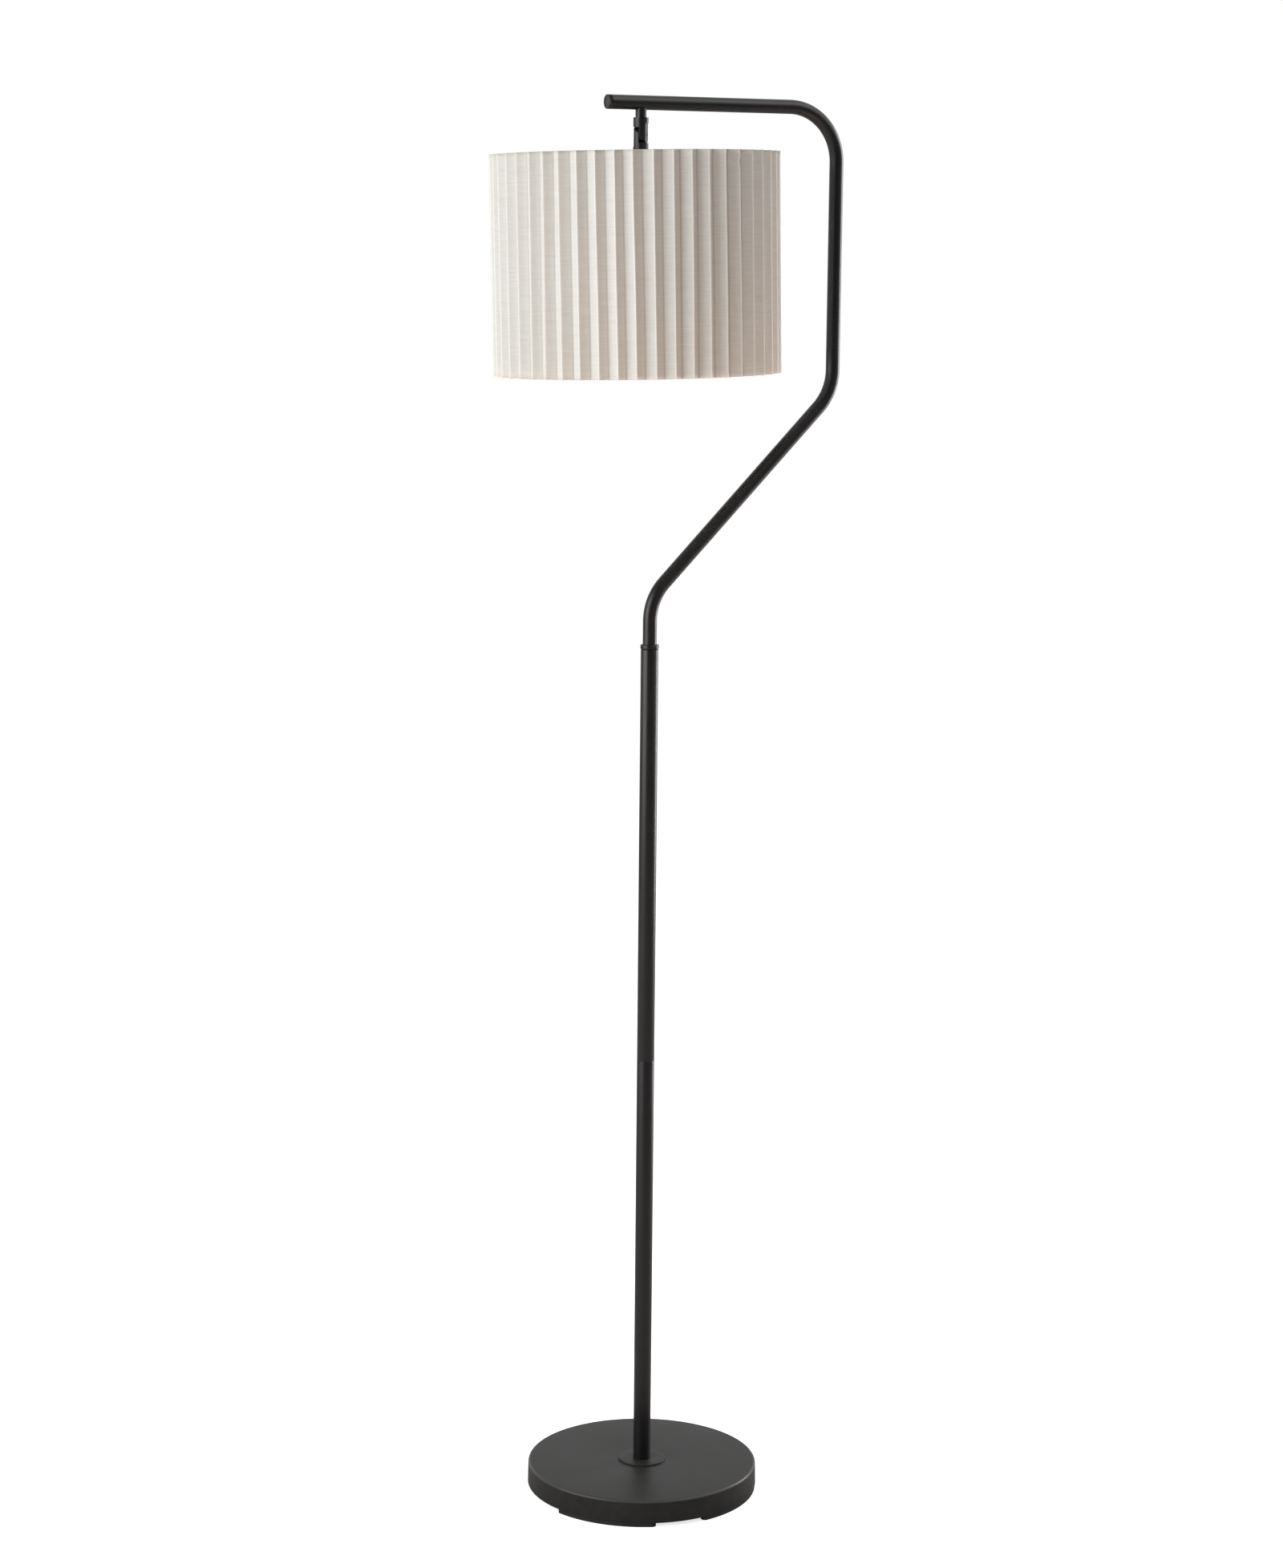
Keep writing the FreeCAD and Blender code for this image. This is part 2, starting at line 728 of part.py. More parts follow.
def pleat_loop(inset):
    """Closed zigzag with sharp ridges and narrow flat valleys, drawn inwards by the cloth's thickness."""
    pitch = 360 / pleat_count
    half_flat = degrees(pleat_valley_width / 2 / valley_radius)
    points = []
    for i in range(pleat_count):
        ridge = pleat_phase + i * pitch
        valley = ridge + pitch / 2 + pleat_lean
        points.append(on_circle(shade_radius - inset, ridge))
        points.append(on_circle(valley_radius - inset, valley - half_flat))
        points.append(on_circle(valley_radius - inset, valley + half_flat))
    return Part.makePolygon(points + points[:1])


def shade_pleats():
    """The pleated cloth, one closed band of knife-edged folds."""
    outer = Part.Face(pleat_loop(0)).extrude(Vec(0, 0, shade_height))
    inner = Part.Face(pleat_loop(pleat_inset())).extrude(Vec(0, 0, shade_height))
    return moved(outer.cut(inner), head_offset, 0, shade_foot)


def pleat_inset():
    """Radial thickness of the slanted cloth."""
    half_pitch = pi / pleat_count * (shade_radius + valley_radius) / 2
    return pleat_cloth * hypot(half_pitch, pleat_depth) / half_pitch


def liner_radius():
    return valley_radius - pleat_inset() - fit_clearance


def shade_liner():
    outer = liner_radius()
    return ring(outer, outer - liner_thickness, shade_foot, shade_top, head_offset)


def wire_ring(height):
    """Wire ring inside the liner."""
    radius = liner_radius() - liner_thickness - ring_wire_radius - slip_clearance
    corner = ring_wire_radius / cos(pi / ring_sides)
    angles = [2 * pi * (i + 0.5) / ring_sides for i in range(ring_sides)]
    section = [(radius + corner * cos(a), height + corner * sin(a)) for a in angles]
    return turned(section, head_offset)


def shade_fitter():
    """Fitter ring on the socket, with spokes that rise to just under the shade's top ring."""
    top = shoulder_height
    body = ring(fitter_outer_radius, fitter_inner_radius, top - fitter_thickness, top)
    start = (fitter_inner_radius + fitter_outer_radius) / 2
    low = top - fitter_thickness / 2
    end_radius = liner_radius() - liner_thickness - fit_clearance - spoke_radius
    high = shade_top - ring_drop - ring_wire_radius - spoke_radius - slip_clearance
    for i in range(spoke_count):
        path = bent_path([
            Vec(start, 0, low), Vec(start + spoke_flat_run, 0, low),
            Vec(end_radius - spoke_flat_run, 0, high), Vec(end_radius, 0, high),
        ], spoke_bend_radius)
        spoke = swept(path, spoke_radius)
        spoke = spoke.cut(rod(fitter_inner_radius, low - spoke_radius, low + spoke_radius))
        spoke = spoke.cut(rod(socket_radius + fit_clearance, top, top + spoke_radius))
        spoke = spoke.cut(ring(
            retainer_radius + fit_clearance, fitter_inner_radius,
            top - fitter_thickness - spoke_radius, top - fitter_thickness))
        spoke.rotate(ORIGIN, Z_AXIS, knuckle_turn + spoke_turn + 360 / spoke_count * i)
        body = body.fuse(spoke)
    return moved(body.removeSplitter(), head_offset)


parts = {
    "base_cover": base_cover,
    "base_weight": base_weight,
    "base_bottom_plate": bottom_plate,
    "foot_pads": foot_pads,
    "cord_bushing": cord_bushing,
    "pole_escutcheon": escutcheon,
    "base_stud": base_stud,
    "stud_washer": stud_washer,
    "stud_nut": stud_nut,
    "lower_pole": lambda: pole_tube(pole_foot, pole_seam),
    "upper_pole": lambda: pole_tube(pole_seam, upper_pole_top()),
    "pole_plugs": pole_plugs,
    "joint_stud": joint_stud,
    "arm_collar": arm_collar,
    "arm_tube": arm_tube,
    "arm_end_cap": arm_end_cap,
    "arm_nipple": arm_nipple,
    "knuckle_upper": knuckle_upper,
    "knuckle_lower": knuckle_lower,
    "knuckle_screw": knuckle_screw,
    "knuckle_nut": knuckle_nut,
    "socket_cap": socket_cap,
    "socket_shell": socket_shell,
    "socket_floor": socket_floor,
    "socket_contact": socket_contact,
    "socket_screw_shell": screw_shell,
    "socket_retainer": socket_retainer,
    "bulb_base": bulb_base,
    "bulb_glass": bulb_glass,
    "switch_shaft": switch_shaft,
    "switch_knob": switch_knob,
    "shade_pleats": shade_pleats,
    "shade_liner": shade_liner,
    "shade_top_ring": lambda: wire_ring(shade_top - ring_drop),
    "shade_bottom_ring": lambda: wire_ring(shade_foot + ring_drop),
    "shade_fitter": shade_fitter,
}

os.makedirs("parts", exist_ok=True)
for node, make in parts.items():
    shape = make()
    shape.exportStep(f"parts/{node}.step")
    print(node, "solids", len(shape.Solids), "valid", shape.isValid(), "volume", round(shape.Volume, 1))
print("pivot", round(head_offset, 3), round(pivot_height, 3), "switch axis", round(switch_height(), 3))
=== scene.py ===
import bpy
import bmesh
import json
import math
import numpy as np
from mathutils import Matrix, Vector


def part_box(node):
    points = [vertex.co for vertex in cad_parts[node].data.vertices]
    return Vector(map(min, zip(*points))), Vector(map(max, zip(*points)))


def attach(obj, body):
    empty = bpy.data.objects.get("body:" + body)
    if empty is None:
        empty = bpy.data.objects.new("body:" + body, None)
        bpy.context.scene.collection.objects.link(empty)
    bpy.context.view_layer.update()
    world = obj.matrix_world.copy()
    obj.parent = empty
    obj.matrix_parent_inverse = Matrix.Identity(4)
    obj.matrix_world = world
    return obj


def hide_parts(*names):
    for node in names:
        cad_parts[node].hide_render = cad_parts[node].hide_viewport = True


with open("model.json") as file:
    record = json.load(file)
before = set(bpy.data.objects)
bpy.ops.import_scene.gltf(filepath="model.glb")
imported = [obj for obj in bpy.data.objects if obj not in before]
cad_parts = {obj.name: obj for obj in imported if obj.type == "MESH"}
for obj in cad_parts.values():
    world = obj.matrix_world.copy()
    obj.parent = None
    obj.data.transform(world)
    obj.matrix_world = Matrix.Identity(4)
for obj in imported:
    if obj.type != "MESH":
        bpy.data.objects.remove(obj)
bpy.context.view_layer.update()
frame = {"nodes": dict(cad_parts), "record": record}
nodes = frame["nodes"]
rng = np.random.default_rng(41)

# camera first: the photo's eye, as a distance, a height and three small turns
camera = dict(
    azimuth=-26.0,           # degrees round the pole, 0 looks along +Y
    distance=3.486,          # metres from the pole's axis
    height=1.375,
    pitch=9.48,              # degrees down
    heading=0.12,            # degrees to the left of the pole
    roll=0.54,               # degrees, turns the picture clockwise
    focal=4087.0,            # pixels, on the tall side of the picture
    tallSide=1955.0,
    filmSide=36.0,           # millimetres on the tall side
)


def turned(vector, axis, degrees):
    # the vector after a right-handed turn about the axis
    return Matrix.Rotation(math.radians(degrees), 3, axis) @ vector


def makeCamera(c):
    # right, away and up start level, then turn by heading, pitch and roll in that order
    azimuth = math.radians(c["azimuth"])
    right = Vector((math.cos(azimuth), math.sin(azimuth), 0))
    away = Vector((-math.sin(azimuth), math.cos(azimuth), 0))
    up = Vector((0, 0, 1))
    place = -away * c["distance"] + up * c["height"]
    right, away = (turned(v, up, c["heading"]) for v in (right, away))
    away, up = (turned(v, right, -c["pitch"]) for v in (away, up))
    right, up = (turned(v, away, -c["roll"]) for v in (right, up))
    data = bpy.data.cameras.new("camera")
    data.sensor_fit = "VERTICAL"
    data.sensor_height = c["filmSide"]
    data.lens = c["focal"] / c["tallSide"] * c["filmSide"]
    eye = bpy.data.objects.new("camera", data)
    bpy.context.scene.collection.objects.link(eye)
    turn = Matrix((right, up, -away)).transposed()
    eye.matrix_world = Matrix.Translation(place) @ turn.to_4x4()
    bpy.context.scene.camera = eye


makeCamera(camera)
print("camera placed")


# surfaces: a grid of points p(u, v) becomes a mesh
tiny = 1e-12                  # keeps a division by a zero length from failing


def gridObject(name, grid, closeU=True, closeV=False, uv=None, weldWithin=1e-7):
    # vertex (i, j) is grid[i, j]; each quad joins (i, j), (i+1, j), (i+1, j+1), (i, j+1)
    # a closed grid's uv has one row more than the grid, for the seam; weldWithin is in metres, 0 for none
    countU, countV = grid.shape[:2]
    i, j = np.meshgrid(np.arange(countU - (not closeU)), np.arange(countV - (not closeV)), indexing="ij")
    nextI, nextJ = (i + 1) % countU, (j + 1) % countV
    quads = np.stack([i * countV + j, nextI * countV + j, nextI * countV + nextJ, i * countV + nextJ], -1)
    mesh = bpy.data.meshes.new(name)
    mesh.vertices.add(countU * countV)
    mesh.vertices.foreach_set("co", grid.reshape(-1).astype(np.float32))
    flat = quads.reshape(-1, 4)
    mesh.loops.add(flat.size)
    mesh.loops.foreach_set("vertex_index", flat.reshape(-1).astype(np.int32))
    mesh.polygons.add(len(flat))
    mesh.polygons.foreach_set("loop_start", np.arange(0, flat.size, 4, dtype=np.int32))
    if uv is not None:
        corner = np.stack([uv[i, j], uv[i + 1, j], uv[i + 1, j + 1], uv[i, j + 1]], 2)
        layer = mesh.uv_layers.new(name="UVMap")
        layer.data.foreach_set("uv", corner.reshape(-1).astype(np.float32))
    mesh.update(calc_edges=True)
    mesh.validate()
    if weldWithin:
        work = bmesh.new()
        work.from_mesh(mesh)
        bmesh.ops.remove_doubles(work, verts=work.verts, dist=weldWithin)
        work.to_mesh(mesh)
        work.free()
    mesh.shade_smooth()
    made = bpy.data.objects.new(name, mesh)
    bpy.context.scene.collection.objects.link(made)
    return made


def rounded(corners, radii, steps):
    # corner k becomes an arc of radii[k] in equal angles, with its centre at
    # corner + bisector * r / sin(half the angle between the sides); radius 0 keeps the corner
    corners = np.asarray(corners, float)
    out = []
    for k, radius in enumerate(radii):
        here = corners[k]
        back, ahead = corners[k - 1] - here, corners[(k + 1) % len(corners)] - here
        if radius <= 0:
            out.append(here[None])
            continue
        back, ahead = back / np.linalg.norm(back), ahead / np.linalg.norm(ahead)
        half = math.acos(np.clip(back @ ahead, -1, 1)) / 2
        bisector = (back + ahead) / np.linalg.norm(back + ahead)
        centre = here + bisector * radius / math.sin(half)
        swing = np.linspace(-1, 1, steps) * (math.pi / 2 - half)
        across = (ahead - back) / np.linalg.norm(ahead - back)
        cosine, sine = np.cos(swing)[:, None], np.sin(swing)[:, None]
        out.append(centre + radius * (-cosine * bisector + sine * across))
    return np.concatenate(out)


def revolved(name, profile, centre=(0, 0), turns=160, closed=True):
    # p(angle, s) = (centre + r(s) * (cos angle, sin angle), z(s)), with r and z from the profile
    angle = np.arange(turns) * 2 * math.pi / turns
    r, z = profile[:, 0], profile[:, 1]
    grid = np.stack([
        centre[0] + np.outer(np.cos(angle), r),
        centre[1] + np.outer(np.sin(angle), r),
        np.broadcast_to(z, (turns, len(z))),
    ], -1)
    return gridObject(name, grid, closeU=True, closeV=closed)


def sweptTube(name, path, scale, radius, side, turns):
    # p(angle, s) = path(s) + radius * scale(s) * (cos angle * side + sin angle * normal(s)),
    # where normal = tangent x side and side stands square to the path all along
    tangent = np.gradient(path, axis=0)
    tangent /= np.linalg.norm(tangent, axis=1, keepdims=True) + tiny
    side = np.asarray(side, float)
    normal = np.cross(tangent, side)
    normal /= np.linalg.norm(normal, axis=1, keepdims=True) + tiny
    angle = -np.arange(turns) * 2 * math.pi / turns
    ring = np.cos(angle)[:, None, None] * side + np.sin(angle)[:, None, None] * normal[None]
    grid = path[None] + radius * scale[None, :, None] * ring
    return gridObject(name, grid, closeU=True, closeV=False)


def bentPath(corners, radius, step=0.004, arcSteps=28):
    # straight runs joined by tangent arcs: entry = corner - r*tan(turn/2) along the run
    corners = [np.asarray(c, float) for c in corners]
    pieces = []
    start = corners[0]
    for before, corner, after in zip(corners, corners[1:], corners[2:]):
        come, go = corner - before, after - corner
        come, go = come / np.linalg.norm(come), go / np.linalg.norm(go)
        turn = math.acos(np.clip(come @ go, -1, 1))
        reach = radius * math.tan(turn / 2)
        entry = corner - come * reach
        count = max(2, int(np.linalg.norm(entry - start) / step))
        pieces.append(start + (entry - start) * np.linspace(0, 1, count, endpoint=False)[:, None])
        inward = go - come * (come @ go)
        inward /= np.linalg.norm(inward)
        swing = np.linspace(0, turn, arcSteps, endpoint=False)[:, None]
        pieces.append(entry + radius * (np.sin(swing) * come + (1 - np.cos(swing)) * inward))
        start = corner + go * reach
    count = max(2, int(np.linalg.norm(corners[-1] - start) / step))
    pieces.append(start + (corners[-1] - start) * np.linspace(0, 1, count)[:, None])
    return np.concatenate(pieces)


def roundedCopy(node, width, segments=2, sharpOver=32.0, flatUnder=1.0, weldWithin=2e-6):
    # a welded copy of a node: faces under flatUnder degrees apart are joined,
    # and edges over sharpOver degrees get a round bevel of this width in metres
    mesh = nodes[node].data.copy()
    mesh.name = node + "Rounded"
    work = bmesh.new()
    work.from_mesh(mesh)
    bmesh.ops.remove_doubles(work, verts=work.verts, dist=weldWithin)
    bmesh.ops.dissolve_limit(work, angle_limit=math.radians(flatUnder), verts=work.verts, edges=work.edges)
    limit = math.radians(sharpOver)
    sharp = [e for e in work.edges if len(e.link_faces) == 2 and e.calc_face_angle(0) > limit]
    bmesh.ops.bevel(work, geom=sharp, offset=width, segments=segments, profile=0.5,
                    affect="EDGES", clamp_overlap=True)
    work.to_mesh(mesh)
    work.free()
    mesh.shade_smooth()
    made = bpy.data.objects.new(node + "Rounded", mesh)
    bpy.context.scene.collection.objects.link(made)
    smoother = made.modifiers.new("weighted", "WEIGHTED_NORMAL")
    smoother.keep_sharp = True
    return made


# shader maths as Python expressions
class Wire:                                    # one output socket; its operators add Math nodes
    def __init__(self, shader, socket):
        self.shader, self.socket = shader, socket

    def math(self, kind, a, b=0.0):
        return self.shader.node("ShaderNodeMath", {"operation": kind}, {0: a, 1: b})

    def __add__(self, other): return self.math("ADD", self, other)
    def __radd__(self, other): return self.math("ADD", other, self)
    def __sub__(self, other): return self.math("SUBTRACT", self, other)
    def __rsub__(self, other): return self.math("SUBTRACT", other, self)
    def __mul__(self, other): return self.math("MULTIPLY", self, other)
    def __rmul__(self, other): return self.math("MULTIPLY", other, self)
    def __pow__(self, other): return self.math("POWER", self, other)
    def sine(self): return self.math("SINE", self)
    def size(self): return self.math("ABSOLUTE", self)


class NodeTree:                                # makes any node: its type, its settings and its sockets
    def __init__(self, tree):
        self.tree = tree

    def node(self, kind, settings=None, inputs=None, out=0):
        made = self.tree.nodes.new(kind)
        for key, value in (settings or {}).items():
            setattr(made, key, value)
        for key, value in (inputs or {}).items():
            self.feed(made.inputs[key], value)
        return Wire(self, made.outputs[out])

    def feed(self, socket, value):
        # links a wire, or sets a value, with a full alpha on a colour
        if isinstance(value, Wire):
            self.tree.links.new(value.socket, socket)
        elif isinstance(value, tuple) and len(value) == 3 and socket.type == "RGBA":
            socket.default_value = (*value, 1)
        else:
            socket.default_value = value


class Shader(NodeTree):                        # one material with a Principled surface
    def __init__(self, name, **fixed):
        self.material = bpy.data.materials.new(name)
        self.material.use_nodes = True
        super().__init__(self.material.node_tree)
        self.surface = self.tree.nodes["Principled BSDF"]
        for key, value in fixed.items():
            self.surface.inputs[key.replace("_", " ")].default_value = value

    def place(self, scale=(1, 1, 1), source="Object"):
        # the piece's own coordinates in metres, times scale
        coordinate = self.node("ShaderNodeTexCoord", out=source)
        return self.node("ShaderNodeMapping", {}, {"Vector": coordinate, "Scale": scale})

    def noise(self, where, scale, detail=2.0, roughness=0.5, distortion=0.0):
        return self.node("ShaderNodeTexNoise", {}, {
            "Vector": where, "Scale": scale, "Detail": detail,
            "Roughness": roughness, "Distortion": distortion})

    def cells(self, where, scale):
        # distance to the middle of the nearest cell
        return self.node("ShaderNodeTexVoronoi", {}, {"Vector": where, "Scale": scale}, "Distance")

    def remap(self, value, low, high, toLow=0.0, toHigh=1.0):
        # toLow + (toHigh - toLow) * (value - low) / (high - low), kept between the two
        return self.node("ShaderNodeMapRange", {"clamp": True}, {
            "Value": value, "From Min": low, "From Max": high, "To Min": toLow, "To Max": toHigh})

    def mix(self, factor, first, second):
        # first * (1 - factor) + second * factor, for colours
        return self.node("ShaderNodeMix", {"data_type": "RGBA"}, {0: factor, 6: first, 7: second}, 2)

    def bump(self, height, distance, strength):
        return self.node("ShaderNodeBump", {}, {"Height": height, "Distance": distance, "Strength": strength})

    def finish(self, **links):
        for key, value in links.items():
            self.feed(self.surface.inputs[key.replace("_", " ")], value)
        return self.material


noiseMiddle = (0.3, 0.7)       # the stretch of a noise's values that most of it fills


def shaded(colour, factor, lift=0.0):
    # the colour times factor plus lift, at most 1
    return tuple(min(1, c * factor + lift) for c in colour)


def powderCoat(name, colour, dusty, roughness, gloss, peel, mottle, rubbedAndHighlight=None):
    # colour drifts with slow noise and lightens where dust lies; height = fine peel + broad waviness
    # paler, smoother paint round the shoulder = ramp of the distance from the Z axis * ramp of the height;
    # the paler colour is part worn paint, part painted highlight
    s = Shader(name, Specular_IOR_Level=gloss)
    here = s.place()
    slow = s.noise(here, mottle["scale"], detail=3.0, roughness=0.55)
    cloud = s.noise(here, mottle["scale"] * mottle["cloudFiner"], detail=4.0, roughness=0.6)
    speck = s.remap(s.cells(here, peel["speckScale"]), 0.0, peel["speckSize"], 1.0, 0.0)
    dust = s.remap(cloud, *mottle["dustRange"]) * mottle["dust"] + speck * peel["speck"]
    tone = s.mix(s.remap(slow, *noiseMiddle), colour, shaded(colour, mottle["lift"]))
    fine = s.noise(here, peel["scale"])
    broad = s.noise(here, peel["scale"] * peel["broadShare"])
    drift = slow * mottle["slowShare"] + cloud * mottle["cloudShare"]
    rough = s.remap(drift, *noiseMiddle, roughness - 0.05, roughness + 0.06) + speck * peel["speckRough"]
    height = fine + broad * peel["broadHeight"]
    tone = s.mix(dust, tone, dusty)
    if rubbedAndHighlight:
        ground = s.node("ShaderNodeVectorMath", {"operation": "LENGTH"}, {0: s.place((1, 1, 0))}, "Value")
        level = s.node("ShaderNodeSeparateXYZ", {}, {0: here}, "Z")
        edge = s.remap(ground, *rubbedAndHighlight["radii"]) * s.remap(level, *rubbedAndHighlight["heights"])
        # paler paint round the shoulder: part worn paint, part painted highlight
        tone = s.mix(edge * rubbedAndHighlight["share"], tone, rubbedAndHighlight["colour"])
        rough = rough - edge * rubbedAndHighlight["smoother"]
    return s.finish(Base_Color=tone, Roughness=rough, Normal=s.bump(height, peel["depth"], strength=0.5))


moulding = dict(
    driftScale=45.0, driftRange=(0.35, 0.7), lift=0.004,
    scuffScale=160.0, scuffAxes=(1, 1, 6), scuffRange=(0.62, 0.74), scuff=(0.3, 0.3, 0.29), scuffRough=0.08,
)


def mouldedPlastic(name, colour, roughness, grain=900.0, depth=0.00004, sheen=0.0, scuffTone=0.12,
                   drift=1.2):
    # fine moulded grain; colour and roughness drift with slow noise, and pale scuffs run across Z
    s = Shader(name, Sheen_Weight=sheen, Specular_IOR_Level=0.45)
    here = s.place()
    slow, fine = s.noise(here, moulding["driftScale"], detail=3.0), s.noise(here, grain)
    streaks = s.noise(s.place(moulding["scuffAxes"]), moulding["scuffScale"], detail=4.0,
                      roughness=0.7, distortion=0.6)
    scuffs = s.remap(streaks, *moulding["scuffRange"])
    lifted = shaded(colour, drift, moulding["lift"])
    tone = s.mix(s.remap(slow, *moulding["driftRange"]), colour, lifted)
    rough = s.remap(slow, *noiseMiddle, roughness - 0.06, roughness + 0.08) + scuffs * moulding["scuffRough"]
    return s.finish(Base_Color=s.mix(scuffs * scuffTone, tone, moulding["scuff"]), Roughness=rough,
                    Normal=s.bump(fine, depth, strength=0.5))


casting = dict(
    poreRange=(0.05, 0.35), poreTone=0.45, poreShare=0.6, poreHeight=0.5,
    gritFiner=2.2, gritHeight=0.6, cloudCoarser=0.06, cloudTone=0.72,
)


def castDull(name, colour, roughness, poreScale, depth):
    # pores from cells and grit from noise; the colour darkens in the pores and in slow clouds
    s = Shader(name, Specular_IOR_Level=0.3)
    here = s.place()
    pores = s.remap(s.cells(here, poreScale), *casting["poreRange"])
    grit = s.noise(here, poreScale * casting["gritFiner"], detail=5.0, roughness=0.65)
    cloud = s.noise(here, poreScale * casting["cloudCoarser"], detail=4.0, roughness=0.6)
    tone = s.mix(s.remap(cloud, *noiseMiddle), colour, shaded(colour, casting["cloudTone"]))
    tone = s.mix((1 - pores) * casting["poreShare"], tone, shaded(colour, casting["poreTone"]))
    height = pores * casting["poreHeight"] + grit * casting["gritHeight"]
    return s.finish(Base_Color=tone, Normal=s.bump(height, depth, strength=0.8),
                    Roughness=s.remap(grit, *noiseMiddle, roughness - 0.08, roughness + 0.08))


turning = dict(
    markScale=60.0, markTone=0.82, depth=0.00003,
    stainScale=90.0, stainRange=(0.5, 0.75), stainShare=0.35, stainRough=0.12,
)


def turnedMetal(name, colour, roughness, axisScale, tarnish, metallic=1.0):
    # tool marks: noise squeezed by axisScale; tarnish where slow noise is high
    s = Shader(name, Metallic=metallic)
    marks = s.noise(s.place(axisScale), turning["markScale"], detail=4.0, roughness=0.6)
    slow = s.noise(s.place(), turning["stainScale"], detail=4.0, roughness=0.6)
    stain = s.remap(slow, *turning["stainRange"])
    bright = s.mix(marks, colour, shaded(colour, turning["markTone"]))
    rough = s.remap(marks, *noiseMiddle, roughness - 0.08, roughness + 0.1) + stain * turning["stainRough"]
    return s.finish(Base_Color=s.mix(stain * turning["stainShare"], bright, tarnish), Roughness=rough,
                    Normal=s.bump(marks, turning["depth"], strength=0.5))


def linenCloth(name, cloth):
    # weave = |sin| of the warp and of the weft; slubs = noise stretched along each thread
    s = Shader(name, Sheen_Weight=0.25, Sheen_Roughness=0.5, Specular_IOR_Level=0.15,
               Subsurface_Weight=0.25, Subsurface_Radius=(1.0, 0.88, 0.75), Subsurface_Scale=0.0015)

    def threadNoise(acrossScale, alongScale, roughness):
        return s.noise(s.place((acrossScale, alongScale, 1), "UV"), 1.0, roughness=roughness)

    warpSlub = threadNoise(cloth["threads"], cloth["slubRun"], 0.6)
    weftSlub = threadNoise(cloth["slubRun"], cloth["threads"], 0.6)
    warpThick = s.remap(warpSlub, *cloth["warpRange"]) * cloth["warpShare"]
    thick = s.remap(weftSlub, *cloth["weftRange"]) + warpThick
    coarse = s.remap(threadNoise(cloth["coarseRun"], cloth["coarseThreads"], 0.55), *cloth["coarseRange"])
    pitch = math.pi * cloth["threads"]
    thread = s.place((pitch, pitch, 1), "UV")
    across, along = (s.node("ShaderNodeSeparateXYZ", {}, {0: thread}, axis) for axis in ("X", "Y"))
    weave = across.sine().size() * 0.5 + along.sine().size() * 0.5
    cloud = s.noise(s.place(source="UV"), cloth["cloudScale"], detail=4.0, roughness=0.6)
    tone = s.mix(s.remap(cloud, *noiseMiddle), cloth["pale"], cloth["warm"])
    tone = s.mix(thick * cloth["slubTone"] + coarse * cloth["coarseTone"], tone, cloth["thread"])
    tone = s.mix((1 - weave) * cloth["gapTone"], tone, cloth["gap"])
    # painted light on the folds: a painted highlight makes the ridges paler, and painted shade makes the
    # valleys darker
    fold = s.node("ShaderNodeAttribute", {"attribute_name": "ridgeShare"}, out="Fac")
    valley = s.remap(fold, 0.0, cloth["valleyWidth"], 1.0, 0.0)
    ridge = s.remap(fold, 1 - cloth["ridgeHighlightWidth"], 1.0)
    tone = s.mix(valley * cloth["valleyTone"], tone, cloth["valley"])
    tone = s.mix(ridge * cloth["ridgeHighlightTone"], tone, cloth["ridge"])
    height = weave * cloth["weaveHeight"] + thick * cloth["slubHeight"]
    return s.finish(Base_Color=tone, Roughness=s.remap(cloud, *noiseMiddle, *cloth["dull"]),
                    Normal=s.bump(height, cloth["depth"], strength=0.7))


def frostedGlass(name):
    # etched inside: one slow noise moves both the pale colour and the roughness
    frost = dict(scale=40.0, pale=(0.93, 0.93, 0.92), dim=(0.88, 0.88, 0.87), rough=(0.38, 0.5))
    s = Shader(name, Transmission_Weight=0.35, IOR=1.45, Coat_Weight=0.35, Coat_Roughness=0.12)
    bloom = s.noise(s.place(), frost["scale"], detail=3.0)
    return s.finish(Base_Color=s.mix(s.remap(bloom, *noiseMiddle), frost["pale"], frost["dim"]),
                    Roughness=s.remap(bloom, *noiseMiddle, *frost["rough"]))


# what the coats of the tubes and the base share
drifts = dict(cloudFiner=6, dustRange=(0.35, 0.75), slowShare=0.6, cloudShare=0.4)
skin = dict(speckSize=0.11, speckRough=0.1, broadShare=0.18, broadHeight=1.6)
tubeMottle = dict(drifts, scale=18.0, lift=1.25, dust=0.02)
tubePeel = dict(skin, scale=900.0, depth=0.00005, speck=0.05, speckScale=260.0)
baseMottle = dict(drifts, scale=14.0, lift=1.35, dust=0.06)
basePeel = dict(skin, scale=700.0, depth=0.00007, speck=0.12, speckScale=220.0)
# paler, smoother paint round the base's shoulder: wear, and a painted highlight along the edge
rubbedEdgeAndHighlight = dict(                             # metres, round the base's shoulder
    radii=(0.1238, 0.1250), heights=(0.0270, 0.0281), share=0.6, colour=(0.10, 0.10, 0.10), smoother=0.13,
)
cloth = dict(
    threads=1400.0, slubRun=55.0,              # per metre, across a thread and along it
    weftRange=(0.5, 0.8), warpRange=(0.56, 0.85), warpShare=0.5,
    pale=(0.82, 0.812, 0.782), warm=(0.798, 0.785, 0.745), cloudScale=14.0,
    thread=(0.69, 0.66, 0.605), gap=(0.60, 0.57, 0.53),
    slubTone=0.25, gapTone=0.25, dull=(0.84, 0.94),
    depth=0.00025, weaveHeight=0.6, slubHeight=0.9,
    coarseThreads=430.0, coarseRun=22.0, coarseRange=(0.36, 0.64), coarseTone=0.32,
    # painted shade in the fold valleys and a painted highlight along the ridges
    valley=(0.50, 0.44, 0.38), valleyTone=0.65, valleyWidth=0.15,
    ridge=(0.97, 0.96, 0.935), ridgeHighlightTone=1.0, ridgeHighlightWidth=0.15,
)
turnedAboutZ = (1, 1, 60)                      # marks run round the Z axis
allWays = (20, 20, 20)                         # marks alike along each axis

